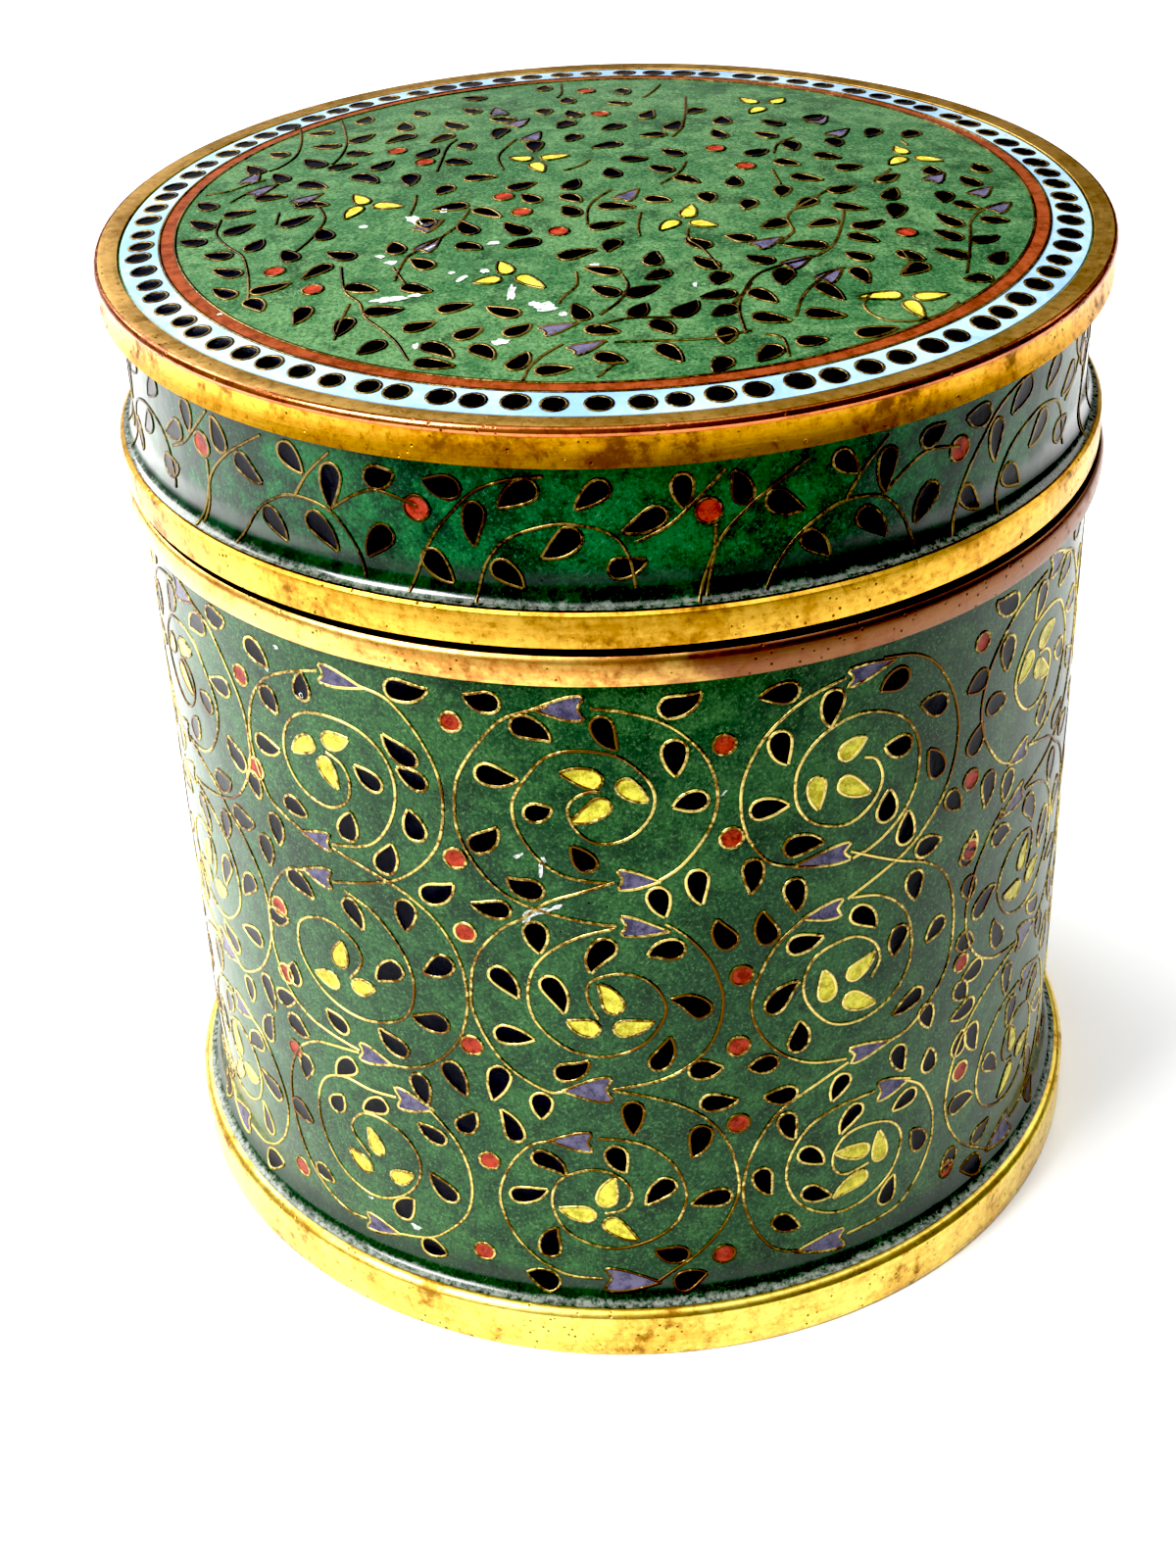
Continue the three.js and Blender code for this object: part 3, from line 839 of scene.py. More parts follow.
# Chips: across, height, length, width and slant in degrees
WALL_CHIPS = [
    (-7.6, 50.9, 3.2, 0.7, 25), (-8.7, 50.3, 1.7, 0.9, 60), (-6.1, 51.5, 1.5, 0.45, 20),
    (-7.3, 55.3, 0.5, 1.6, 0), (-9.2, 56.6, 1.3, 0.45, 35), (-7.0, 56.4, 0.4, 0.8, 20),
    (-3.1, 55.4, 0.9, 0.5, 10), (8.3, 62.4, 0.9, 0.3, 40), (-31.6, 72.1, 0.7, 0.5, 0),
    (-33.2, 69.4, 0.6, 0.6, 0), (-29.2, 68.2, 0.5, 0.8, 0), (-22.3, 10.2, 1.6, 0.9, -10),
    (-27.5, 11.6, 0.8, 0.4, 0),
]
for x, y, length, width, degrees in WALL_CHIPS:
    vine.chip("chip", (x, y), length, width, degrees)
show_cells("wall", vine, wall_cell)


# Mouth rim: a brass ring round the box's mouth. Its inner edge stands up as a collar
# that the lid slides over. Its right-hand side is painted darker purple-brown, as painted shade where the
# light falls off.
mouth_brass = brass(
    "brass_mouth", bright=tone(255, 212, 116), worn=tone(222, 156, 82), stain=tone(130, 80, 46),
    shift=50.0, shaded_side_colour=tone(112, 70, 58),
)
# Painted shade: a dark brass finish for the faces in the seam between lid and mouth rim.
seam_shade_brass = brass(
    "brass_seam_shade", bright=tone(58, 40, 22), worn=tone(34, 22, 12), stain=tone(14, 8, 4),
    shift=60.0, rough=0.6,
)
COLLAR_BORE, COLLAR_OUTSIDE = 41.35, 42.15
outline = [
    (COLLAR_BORE, 74.0), (45.7, 74.0), (45.82, 74.1), (45.98, 74.6), (46.06, 75.2), (46.08, 75.6),
    (46.04, 76.2), (45.93, 76.55), (45.7, 76.82), (45.35, 76.97), (44.9, 77.0), (42.3, 77.0),
    (COLLAR_OUTSIDE, 77.15), (COLLAR_OUTSIDE, 81.7), (42.05, 81.95), (41.85, 82.0), (41.6, 82.0),
    (41.4, 81.9), (COLLAR_BORE, 81.7),
]
# Painted shade: the top of the mouth rim, in the seam under the lid, gets the dark finish.
zones = [1 if z > 76.6 and r > 43 else 0 for r, z in outline]
mouth = turned("mouth_rim_turned", outline, [mouth_brass, seam_shade_brass], zones, wear=0.04)
show(mouth, "rim_brass", "mouth_rim")


# Lid's lower rim: a plain turned brass band, soldered under the lid's wall. Its underside is
# painted dark as painted shade, where it sits over the mouth rim. The lid lies a little to the left within
# its play.
LID_SHIFT = -0.25
LID_BORE = 42.75
lower_brass = brass(
    "brass_lower", bright=tone(242, 192, 82), worn=tone(196, 142, 54), stain=tone(104, 64, 26), shift=90.0
)
outline = [
    (LID_BORE, 77.2), (44.9, 77.2), (45.3, 77.24), (45.62, 77.38), (45.79, 77.6), (45.83, 77.9),
    (45.84, 79.0), (45.83, 80.2), (45.75, 80.5), (45.5, 80.72), (45.2, 80.75), (LID_BORE, 80.75),
]
# Painted shade: the lower rim's underside, in the seam, gets the dark finish.
zones = [1 if z < 77.5 else 0 for r, z in outline]
lower = turned("lid_lower_rim_turned", outline, [lower_brass, seam_shade_brass], zones, aside=LID_SHIFT, wear=0.04)
show(lower, "rim_brass", "lid_lower_rim")


# Lid wall: a short copper cylinder between the lid's two rims, enamelled like the box but
# deeper green, partly its own tone and partly painted shade under the top rim's overhang. Its foot sweeps out
# to the lower rim.
LID_RADIUS = 44.15
LID_FOOT = 80.85
LID_HEAD = 93.2
LID_FLARE = 1.2
LID_FLARE_HEIGHT = 2.5
# Painted shade in part: these tones are darker than the wall's, for the shade under the top rim's overhang.
lid_green = green_enamel(
    "enamel_green_lid_wall", light=tone(18, 96, 46), deep=tone(4, 44, 22), dark=tone(0, 14, 7),
    # The pale foot strip here is partly a painted highlight along the lid wall's foot.
    foot=LID_FOOT, glow=tone(70, 160, 110), frost_and_sheen=0.4, glossy=0.6, shift=70,
)
outline = [(LID_BORE, LID_FOOT)] + flare(LID_RADIUS, LID_FLARE, LID_FOOT, LID_FLARE_HEIGHT)
outline += [(LID_RADIUS, z) for z in (87, LID_HEAD)] + [(LID_BORE, LID_HEAD)]
lid_wall = turned(
    "lid_wall_enamel", outline, [lid_green, inside_enamel],
    [0] * (len(outline) - 1) + [1], aside=LID_SHIFT,
)
show(lid_wall, "green_enamel", "lid_wall")


# Wires and cells on the lid's side: one running vine, drawn once and repeated round the lid.
# Its wire is the same brass, but darker with tarnish. Places are degrees from the front and height.
LID_DEGREE = math.radians(LID_RADIUS)
REPEATS = 6
lid_vine = Drawing()
SIDE_STEMS = [
    [(-51.5, 80.9), (-49.2, 85.6), (-45.9, 88.4), (-42.4, 90.3), (-39.5, 91.7)],
    [(-44.4, 81.1), (-41.5, 84.4), (-38.6, 86.2), (-35.3, 87.2), (-30.9, 86.7), (-28.1, 84.4), (-26.6, 81.5)],
    [(-35.3, 87.2), (-33.2, 89.6), (-30.2, 91.9)],
    [(-30.9, 86.7), (-27.5, 88.6), (-24.6, 89.4), (-20.3, 88.6)],
    [(-21.5, 81.1), (-19.1, 85.6), (-16.4, 88.5), (-13.9, 90.4), (-10.5, 91.5), (-6.8, 91.9)],
    [(-14.2, 81), (-13.1, 84.2), (-10.6, 86.5), (-6, 87.8), (-2.3, 87.6), (0.2, 86.7), (1.6, 84.8),
     (2.2, 82.2)],
    [(2.4, 86.2), (5.6, 87.4), (8.2, 89.2), (11.5, 91.8)],
    [(9.4, 81.2), (10.3, 84.6), (10.5, 87.2)],
]
SIDE_LEAVES = [
    (-46.6, 89.5, -47.6, 91.6, 3), (-43, 88.5, -40, 87.3, 4), (-35.8, 90.9, -33.9, 89.4, 0),
    (-30.2, 90, -30.5, 86.9, 3), (-24.8, 90.5, -22.6, 91.2, 3), (-39.3, 84.5, -37.1, 82.7, -3),
    (-32.8, 85.3, -30.2, 83.1, -4), (-24.4, 85.5, -26.4, 83.3, 4), (-16.7, 90.5, -19.4, 90.9, -3),
    (-14.1, 88.6, -14.2, 85.6, 4), (-18.9, 84, -16.7, 82.2, 3), (-11.5, 83.7, -9.3, 82.2, -3),
    (-8.7, 90.7, -11.5, 89.1, 3), (-4.4, 86.6, -7.3, 84.9, -4), (-1.2, 90.8, -3.7, 89.1, 2),
    (4.4, 88.3, 1, 87.1, -3), (7.1, 90.9, 7.3, 88.8, 0), (0.6, 83.9, 3.4, 84.5, 3),
]
SIDE_DOTS = ((-20.3, 88.4), (-50.2, 88.4))
for turn in range(REPEATS):
    start = turn * 360 / REPEATS
    for stem in SIDE_STEMS:
        lid_vine.line([((d + start) * LID_DEGREE, z) for d, z in stem])
    for bx, by, tx, ty, curl in SIDE_LEAVES:
        blob, tip = ((bx + start) * LID_DEGREE, by), ((tx + start) * LID_DEGREE, ty)
        lid_vine.leaf("black", blob, tip, curl=curl / 10, swell=chance.uniform(0.86, 1.04))
    for degrees, z in SIDE_DOTS:
        lid_vine.dot("red", ((degrees + start) * LID_DEGREE, z), 1.1)

LID_SIDE = {
    "Radius": LID_RADIUS, "Foot": LID_FOOT, "Flare": LID_FLARE, "Flare height": LID_FLARE_HEIGHT,
    "Aside": LID_SHIFT,
}
side_wire, side_cell = layings("the lid's side", LID_SIDE, Laying.on_wall)
dark_wire = wire_brass("brass_wire_dark", tone(138, 116, 70), tone(64, 50, 30))
wires = laid("lid_side_wires", lid_vine.wires(), side_wire, dark_wire)
show(wires, "wire_brass")
show_cells("lid_side", lid_vine, side_cell)


# Lid top rim: a turned moulding with a round lip over a shallow cove. The lip is rubbed
# red-brown, and the cove below it is mottled gold with dark spots.
top_brass = brass(
    "brass_top", bright=tone(236, 176, 64), worn=tone(190, 128, 38), stain=tone(92, 54, 16),
    stain_from=0.5, stain_to=0.6, shift=130.0,
)
lip_brass = brass(
    "brass_lip", bright=tone(214, 132, 82), worn=tone(176, 98, 58), stain=tone(104, 56, 34),
    shift=150.0, rough=0.16,
)
flat_brass = brass(
    "brass_flat", bright=tone(206, 164, 92), worn=tone(158, 120, 60), stain=tone(84, 56, 26),
    shift=170.0, rough=0.42,
)
outline = [
    (LID_BORE, 93.3), (45.8, 93.3), (45.88, 93.36), (45.7, 94.0), (45.55, 94.6), (45.5, 95.2), (45.55, 95.85),
    (45.78, 95.92), (45.92, 96.1), (45.98, 96.3), (45.92, 96.52), (45.78, 96.68), (45.55, 96.75),
    (43.85, 96.75), (43.8, 96.7), (43.8, 94.95), (LID_BORE, 94.95),
]
LIP_FROM, LIP_TO = 6, 12
zones = [0] * LIP_FROM + [1] * (LIP_TO - LIP_FROM) + [2] * (len(outline) - LIP_TO)
top_rim = turned(
    "lid_top_rim_turned", outline, [top_brass, lip_brass, flat_brass], zones, aside=LID_SHIFT, wear=0.04
)
show(top_rim, "rim_brass", "lid_top_rim")


# Lid panel: a crowned copper disc, set in the top rim's rebate. Its green field lies inside a
# narrow red ring and a pale blue border.
PANEL_RADIUS = 43.7
PANEL_EDGE = 96.66
PANEL_CROWN = 2.5
PANEL_THICKNESS = 1.6
PANEL_BEVEL = 0.15
RED_RING, PALE_RING, PALE_RING_EDGE = 38.6, 40.0, 43.55
INLAY_DEPTH, INLAY_PROUD = 0.3, 0.008
panel_green = green_enamel(
    "enamel_green_panel", light=tone(86, 124, 80), deep=tone(56, 98, 60), dark=tone(18, 46, 28),
    foot=0.0, glow=tone(150, 184, 136), frost_and_sheen=0.0, glossy=0.0, shift=120,
)
ring_red = cell_enamel("enamel_ring_red", tone(142, 70, 42), tone(98, 46, 28))
band_pale = pale_enamel("enamel_band", tone(176, 204, 222), tone(130, 168, 208))


def crown(radius):
    return PANEL_CROWN * (1 - (radius / PANEL_RADIUS) ** 2)


underside = [(r, PANEL_EDGE - PANEL_THICKNESS + crown(r)) for r in (0, 15, 30, PANEL_RADIUS)]
above = [(PANEL_RADIUS, PANEL_EDGE - PANEL_BEVEL)]
above += [(r, PANEL_EDGE + crown(r)) for r in (43.4, 40, 35, 30, 24, 18, 12, 6, 0)]
panel = turned(
    "lid_panel_enamel", underside + above, [panel_green, inside_enamel],
    [1] * len(underside) + [0] * (len(above) - 1), aside=LID_SHIFT,
)
show(panel, "green_enamel", "lid_panel")


def inlaid_ring(name, inner, outer, finish):
    """A ring of coloured glass, fused into the panel along its edge"""
    radii = [outer - (outer - inner) * i / 4 for i in range(5)]
    outline = [(r, PANEL_EDGE + crown(r) - INLAY_DEPTH) for r in (inner, outer)]
    outline += [(r, PANEL_EDGE + crown(r) + INLAY_PROUD) for r in radii]
    return turned(name, outline, [finish], aside=LID_SHIFT)


show(inlaid_ring("lid_red_ring", RED_RING, PALE_RING, ring_red), "red_enamel")
show(inlaid_ring("lid_pale_band", PALE_RING, PALE_RING_EDGE, band_pale), "band_enamel")


# Wires and cells on the lid's panel: the same vine on the field, two wire rings that part the
# red ring and the border, and a row of round black cells in the border, spaced by eye.
DOME = {"Radius": PANEL_RADIUS, "Edge": PANEL_EDGE, "Crown": PANEL_CROWN, "Aside": LID_SHIFT}
dome_wire, dome_cell = layings("the lid's panel", DOME, Laying.on_dome)
garden = Drawing()
RING_POINTS = 96
for radius in (RED_RING, PALE_RING):
    angles = [2 * math.pi * i / RING_POINTS for i in range(RING_POINTS)]
    garden.line([(radius * math.cos(a), radius * math.sin(a)) for a in angles], closed=True)
BORDER_CELLS = 83
BORDER_MIDDLE = 41.75
for i in range(BORDER_CELLS):
    angle = 2 * math.pi * (i + chance.uniform(-0.1, 0.1)) / BORDER_CELLS
    middle = Vector((math.cos(angle), math.sin(angle))) * (BORDER_MIDDLE + chance.uniform(-0.15, 0.15))
    garden.dot("black", middle, 1.1 + chance.uniform(-0.1, 0.08))
# Places on the field are across and away from the lid's axis
FIELD_STEMS = [
    [(10.3, -26), (11.3, -23.9), (11.9, -22), (12.9, -20.1), (14.8, -18.5), (16.7, -17.4), (18.3, -16.1),
     (19.6, -14), (20.4, -11), (21, -7.8), (21.2, -6)],
    [(15.3, -28.2), (16.1, -24.7), (17.2, -22.3), (18.8, -19.9), (20.2, -18.8)],
    [(11.1, -31.1), (10.8, -27.4), (11.1, -24.7), (12.1, -22)],
    [(21.8, -23.9), (21, -25.8), (21.5, -27.7), (22.8, -28.7), (24.7, -28.7), (27.1, -27.4), (28.9, -25)],
    [(30.3, -19.3), (31.1, -15), (31.7, -11), (32.2, -7.8), (33.5, -5.1), (36, -2.5)],
    [(1.4, -19.9), (1.9, -22.3), (1.1, -25), (-0.5, -27.4)],
    [(3.3, -6.5), (3, -9.7), (3.1, -12)],
    [(7.3, -10.5), (7.3, -12.9), (8.4, -15), (9.7, -19.3)],
    [(15, -14), (16.1, -11.9), (16.4, -11), (16.1, -7.8), (17.5, -5.1), (18.8, -3.3), (20.6, -0.4)],
    [(0.6, -32.2), (4.1, -32.2), (8.4, -31.9), (11.6, -30.6)], [(-1, -29.5), (1.7, -28.2), (5.4, -28.2)],
    [(-34.6, -0.6), (-34.6, -4.3), (-33.2, -7.6), (-31.6, -10.2), (-30.7, -14), (-30.2, -17.7), (-30, -20)],
    [(-22.5, -15), (-22.2, -17.7), (-21.7, -20.4), (-20.4, -22.6), (-19.8, -25.2), (-18.2, -27.9),
     (-16.9, -30.3), (-15.8, -33.5)],
    [(-21.2, -22.6), (-21.7, -25.8), (-22, -29)],
    [(-17.7, -18.8), (-17.4, -16.4), (-16.9, -14), (-15.8, -12.4), (-14.2, -10.2), (-12.9, -7.8),
     (-12.1, -5.1), (-11.9, -3.8)],
    [(-2.4, -19.1), (-2.4, -21.8), (-3.5, -23.9), (-3.8, -25)],
    [(-6.6, -37.8), (-6.2, -36), (-5.1, -34), (-3.5, -32.2)],
    [(-1.4, -8.9), (-1.4, -5.9), (-0.8, -3.3), (0.8, -0.6)],
    [(-26, 0.5), (-25.2, -1.7), (-24.9, -4), (-25.7, -7.8), (-26.8, -10.5)],
    [(-16.9, 0.8), (-16.9, -1.7), (-17.2, -4.3)],
    [(0.8, -35.4), (-0.8, -37.8)],
    [(-29.3, -0.6), (-29.3, -3.5)],
    [(-30, 26), (-29.5, 22.2), (-29.3, 18.2), (-29.6, 15.3), (-30.6, 12.9), (-31.6, 12)],
    [(-26, 27.6), (-25.2, 22.8), (-24.7, 18.2), (-24.9, 14.7), (-25.5, 12)],
    [(-37, 7), (-34.8, 7.2), (-33, 8.6), (-31.6, 9.4)], [(-34.3, 3.8), (-33, 5.9), (-31.1, 7.5)],
    [(-13.9, 16.9), (-14.7, 14.2), (-15, 10.7), (-15.3, 7)],
    [(-8.1, 15.6), (-9.1, 12.9), (-9.7, 9.9), (-9.1, 6.2)], [(-4, 37), (-3.9, 33), (-4.3, 30.8)],
    [(-1.1, 8.1), (-1.9, 6.4), (-3.5, 5.1)], [(6.2, 35.4), (5.4, 32.2), (4.4, 29.5)],
    [(8.6, 29.5), (8.4, 24.9), (8.1, 20.1), (7.6, 16.9), (6.8, 14.5)],
    [(16.1, 9.1), (16.7, 12.1), (18.3, 14.2)], [(7.8, 6.7), (7, 3.5), (5.2, 0.4)],
    [(12.7, -31.3), (14, -32), (14.3, -35)], [(25.3, -14.7), (25.7, -17.3), (25, -19.7)],
    [(-18, -16), (-17.3, -18), (-16.7, -19.7)], [(28.5, 14.2), (29, 12.6)], [(26.6, 5.1), (24.7, 1.4)],
    [(15.6, 4.3), (16.1, 0.3)],
]
# Leaves on the field: round end, tip, and which way the tip bends. A scan of the photo for
# dark patches found them, and their rows were written by that scan, not by hand.
FIELD_LEAVES = [
    (-5.7, 34.8, -5.5, 36.6, 0), (2.3, 32.8, 2.6, 31, 0), (-12.4, 32.3, -14, 33.1, 0),
    (-3.2, 28.8, -3.3, 30.6, 0), (-17.9, 27.3, -18.5, 29, 1), (2.3, 27.2, 0.6, 27.8, 1),
    (-23.6, 26.4, -23.2, 28.4, 0), (-12.6, 26.7, -13.7, 28.2, 1), (-5.6, 25.5, -5.4, 23.8, 0),
    (9.5, 24.1, 8.6, 22.5, 0), (-2.5, 23.2, -3.1, 25, 0), (-19.2, 22.1, -19.4, 24.6, 0),
    (-27.2, 23.3, -29, 23.5, 0), (4.5, 21.8, 5.2, 24.1, -1), (-9.2, 22.7, -10.8, 23.4, 0),
    (-13.9, 21.2, -15.1, 23.6, -1), (20.6, 21, 21.8, 22.4, 0), (11.8, 19.4, 11.9, 21.5, 0),
    (-3.2, 20.4, -4.1, 18.6, 0), (-23.7, 19.3, -22.2, 21.1, 0), (-18.8, 19.2, -20.7, 17.3, 1),
    (17, 18.8, 15.7, 20, 0), (-9.6, 19, -10, 16.1, 1), (6.9, 17.6, 7.7, 20, 0), (1.5, 18.6, 0.2, 17.4, 0),
    (-26, 18.1, -28.1, 18.7, 0), (-14.9, 18.2, -16.3, 16.2, 0), (-30.9, 16.9, -32.1, 18.2, 0),
    (26.3, 17.1, 25.5, 14.8, 0), (30, 16.9, 28.9, 15.1, 0), (11.4, 14.6, 10.9, 16.9, 0),
    (-2.5, 15.6, -3.2, 13.9, 0), (5.5, 15.4, 3.7, 15.2, -1), (-23.6, 14.9, -21.9, 14.4, 1),
    (16.1, 14.7, 14.7, 15.8, 0), (-12.9, 14.6, -12.3, 12.9, 0), (-6.3, 13.7, -6.3, 11.1, 0),
    (-32.7, 12.1, -33.9, 14.7, 0), (-26.9, 12.2, -28.3, 14.5, 0), (-16.7, 12.3, -15.7, 14.2, 1),
    (22.1, 13.2, 22.2, 11.4, 0), (1.2, 12.5, -0.9, 11.6, 0), (17.9, 12.1, 18.1, 9.9, 0),
    (-25, 10.8, -23.1, 11.5, 0), (-20.9, 9.6, -19.7, 11.3, 0), (-29.9, 8.8, -30.9, 10.9, 0),
    (7, 9.1, 5.7, 10.6, 0), (-13.8, 9.6, -12.2, 8.6, 0), (14.2, 9, 15.6, 10.2, 0), (20.6, 8.6, 22.3, 7.9, 0),
    (2.6, 7.8, 4.3, 7.9, 1), (-22.5, 7.3, -20.7, 5, -1), (-27.4, 6.6, -25.4, 4.9, 0),
    (35.1, 6.1, 34.7, 7.8, 0), (16.8, 6.5, 18.3, 5.6, 0), (-17.7, 5.9, -17.6, 3.4, 0),
    (22.3, 5.1, 24, 5.7, 0), (30.3, 4.6, 30.4, 6.4, 0), (5.8, 4.5, 4.4, 5.6, 0), (-11.8, 4.4, -9.6, 4.4, 0),
    (1, 3.5, 0.7, 5.3, 0), (-31.2, 4, -29, 3.8, 0), (-36.1, 3.1, -37.4, 4.9, 0), (25.5, 2, 27.1, 3.7, 0),
    (33.7, 2.1, 33, 3.8, 0), (18, 2.3, 20.1, 1.6, 1), (7.3, 2.1, 8.8, 0.6, 0), (-14.2, 2, -14.9, 0.4, 0),
    (-7.8, 1.1, -6, 2.1, 0), (-2.9, 0.6, -2.2, 2.5, 0), (11.9, 0.4, 12.1, 2.4, 0),
    (-27.2, 0.9, -24.8, 0.1, -1), (-33.7, 0.4, -31.6, 0.7, 0), (21, -1.2, 22.9, 0.1, 0),
    (-35.7, -2.1, -37.5, 0.1, 0), (16.2, -0.9, 15.9, -3, 0), (25.6, -2.6, 26.4, -0.1, 0),
    (30.7, -1.5, 30.4, -3.5, 0), (-6.2, -2.5, -7.2, -0.7, 0), (-3.1, -2, -2, -3.6, -1),
    (9.3, -2.7, 9.5, -4.5, 0), (-12.9, -2.9, -15.2, -3.4, 0), (-28, -3.7, -26.1, -2.2, 0),
    (4.5, -3.3, 6.1, -4, -1), (-33.1, -4.1, -31.3, -2.8, 0), (32, -3.7, 33.5, -4.7, 1),
    (18.4, -4, 17.1, -5.9, 0), (13, -4.4, 12.6, -6.2, 0), (-10.8, -4.4, -9, -6.3, 0),
    (0.4, -4.7, 2.9, -5.2, 0), (26, -5.1, 25.5, -7.8, 0), (21.2, -5.2, 23.3, -5.8, 0),
    (-2.7, -6.1, -3.5, -4.4, 1), (-36.1, -5.8, -37.8, -5, 0), (-15.6, -6.3, -15.2, -8.1, 0),
    (-24.5, -7.7, -25, -5.8, 0), (30.7, -8.5, 29.4, -6.2, 0), (33.9, -7.2, 35.7, -7.2, 0),
    (-11.6, -9.1, -12.5, -6.6, -1), (-30.8, -8.6, -30.1, -6.9, 0), (-7.2, -9.9, -8.5, -7.6, -1),
    (22.3, -9.8, 24.5, -8.4, 1), (19.7, -8.9, 17.7, -10.1, 0), (15.3, -9.2, 13.6, -10.5, -1),
    (-0.5, -9.6, 1.8, -8.7, 0), (-33.3, -9.8, -35.1, -9, 0), (-27.1, -11.9, -27.9, -10, 0),
    (30.2, -11.6, 28.6, -10.4, 1), (-17.9, -12.3, -18.3, -10.4, 0), (32.3, -12.1, 34.2, -10.9, 1),
    (-22.2, -12.8, -24, -11.4, 0), (21.8, -12.2, 23.6, -13.3, 0), (-12, -12.4, -10.5, -13.4, -1),
    (-6.3, -12.4, -8.4, -13.4, 1), (12.1, -12.8, 10.5, -12.2, 0), (-31.9, -14.1, -33.9, -12.5, 0),
    (8.4, -14.1, 7.1, -12.5, -1), (0.8, -13.3, 0.3, -15.2, 1), (18.2, -14.2, 15.3, -14.2, 0),
    (-24, -14.7, -25.7, -16.7, 0), (30.2, -15.6, 28.2, -14.5, 0), (-3.1, -15.7, -0.6, -14.7, -1),
    (-15.2, -16.1, -16.6, -14.4, 1), (33.3, -16.3, 34.3, -14.5, -1), (25.6, -15.8, 27.1, -16.9, 0),
    (21.9, -16.7, 20.5, -15.6, -1), (4.1, -17.5, 4.4, -15.4, -1), (13.6, -17.5, 12, -16.6, -1),
    (-29.2, -18.2, -26.6, -17.2, 1), (8.9, -18.4, 7.7, -16.6, -1), (-31.8, -18.4, -33.3, -16.7, 0),
    (26.5, -18.3, 24.7, -20.2, 0), (0.5, -19.3, -1.7, -18.3, 0), (-21.1, -19.4, -19, -20.6, 0),
    (21.2, -19.5, 21.8, -21.9, 0), (4.8, -19.9, 3.4, -21, 0), (15, -20, 14.7, -22.4, 1),
    (31.6, -20.1, 29.9, -20.6, 0), (-16.3, -20.3, -14.4, -21.4, 1), (-29.6, -20.4, -28.6, -22.4, -1),
    (9.7, -20.6, 9.2, -22.3, 1), (18.1, -22.8, 19.5, -25.2, 0), (0.5, -23.4, -1.1, -22, 0),
    (-25, -23.1, -25.6, -25.5, -1), (2.4, -23.6, 4.5, -22.3, 0), (12.5, -23.9, 14, -25.7, 0),
    (10, -24, 7.8, -24.7, 0), (-19, -24.4, -16.6, -24.3, 1), (-13, -24.9, -10.9, -24.3, 0),
    (-7.8, -26.4, -9.7, -24.9, -1), (-21.3, -26, -21.8, -28.4, 0), (6.1, -27.4, 7.5, -25.3, 1),
    (-1.9, -27.5, -2.6, -25.2, 0), (2.5, -27.3, 3.3, -25.6, 0), (10, -26.8, 8.6, -28.1, 0),
    (-15.7, -27.9, -13.9, -27.1, 1), (17, -27.6, 19.4, -28.1, 0), (12.6, -28.3, 14.9, -29, 0),
    (-7.5, -29.8, -6.1, -28.5, 1), (-11.5, -29.8, -10, -28.7, 0), (4.3, -29.4, 5.3, -31.1, -1),
    (-0.9, -29.9, 1.1, -30.6, 0), (20.7, -31, 23.4, -29.9, 0), (-18.5, -30.5, -19.9, -31.8, 0),
    (9.6, -30.9, 9.4, -32.9, 0), (-14.1, -31.4, -12.2, -33.6, -1), (-10.2, -32.3, -9, -34.2, -1),
    (15.8, -32.5, 17.6, -32.1, 0), (4.6, -33.5, 5.9, -35.7, 0), (13.1, -33.9, 11.8, -35.8, 0),
    (-14.5, -34.1, -12, -35, 0), (-7.2, -35.3, -6.3, -33.3, 1), (-0.2, -34.6, 1.5, -35.5, 0),
    (9.1, -35.8, 8.3, -37.4, 0), (-4.9, -36.4, -2.7, -36.2, 0),
]
FIELD_PETALS = [
    (17.5, 27.3, 18.4, 29), (15.1, 27.2, 14, 28.8), (15.7, 24.4, 14.7, 22.6), (28.2, 10.4, 27.7, 12),
    (29.9, 8.6, 31.8, 8.2), (27.8, 8.1, 26.6, 6.2), (-5, 9.2, -3, 9.6), (-7.2, 9.1, -8.7, 9.7),
    (-6.1, 7.1, -5.4, 4.9), (-21.7, 0.1, -22.7, 2.3), (-22.2, -1.7, -23, -4), (-20, -1.2, -17.9, -2),
    (7.4, -7.3, 7.8, -4.9), (6, -9.2, 4.9, -10.9), (8.2, -9.3, 9.9, -10), (-8.3, -18.2, -8.9, -16.2),
    (-9.4, -19.9, -11, -20.2), (-6.8, -19.9, -5, -22), (23.6, -24.1, 20.6, -24.6), (26, -24.2, 28.3, -23.5),
    (24.9, -25.7, 25.7, -28.1),
]
# Buds on the field: across, away and the way that the tip points, in degrees
FIELD_BUDS = [
    (-15.3, -7.4, 50), (-15.1, -11.8, 60), (-4, -29.5, 25), (-1.7, -32.9, 30), (2.3, -2.2, 60),
    (13.9, -13.8, 40), (16.2, -17.9, 45), (18.8, -20.5, 55), (35.3, -4.1, 50), (34.2, -0.3, 55),
    (30.5, 3, 60), (22.8, 16, 55), (21.3, 20.3, 60), (-10.2, 25.9, 100), (-8, 21.2, 60), (-33, 10.2, 75),
    (-31.6, 6.2, 45), (-27.1, 2.3, 40), (-6.5, 16, 70),
]
FIELD_DOTS = [
    (-1.4, 33.2), (0, 23.4), (-19.5, 14.4), (10.7, 10.6), (-16.6, 10.1), (13.2, 5.3), (-8.9, -1.2),
    (-7.2, -5.3), (-3.9, -10.3), (26.2, -11), (-28.3, -14.5), (-24.6, -19.1),
]
for stem in FIELD_STEMS:
    garden.line(stem)
for bx, by, tx, ty, curl in FIELD_LEAVES:
    garden.leaf("black", (bx, by), (tx, ty), curl=curl * 0.4, swell=chance.uniform(0.78, 0.92))
for bx, by, tx, ty in FIELD_PETALS:
    garden.leaf("yellow", (bx, by), (tx, ty), curl=0.1, swell=0.74)
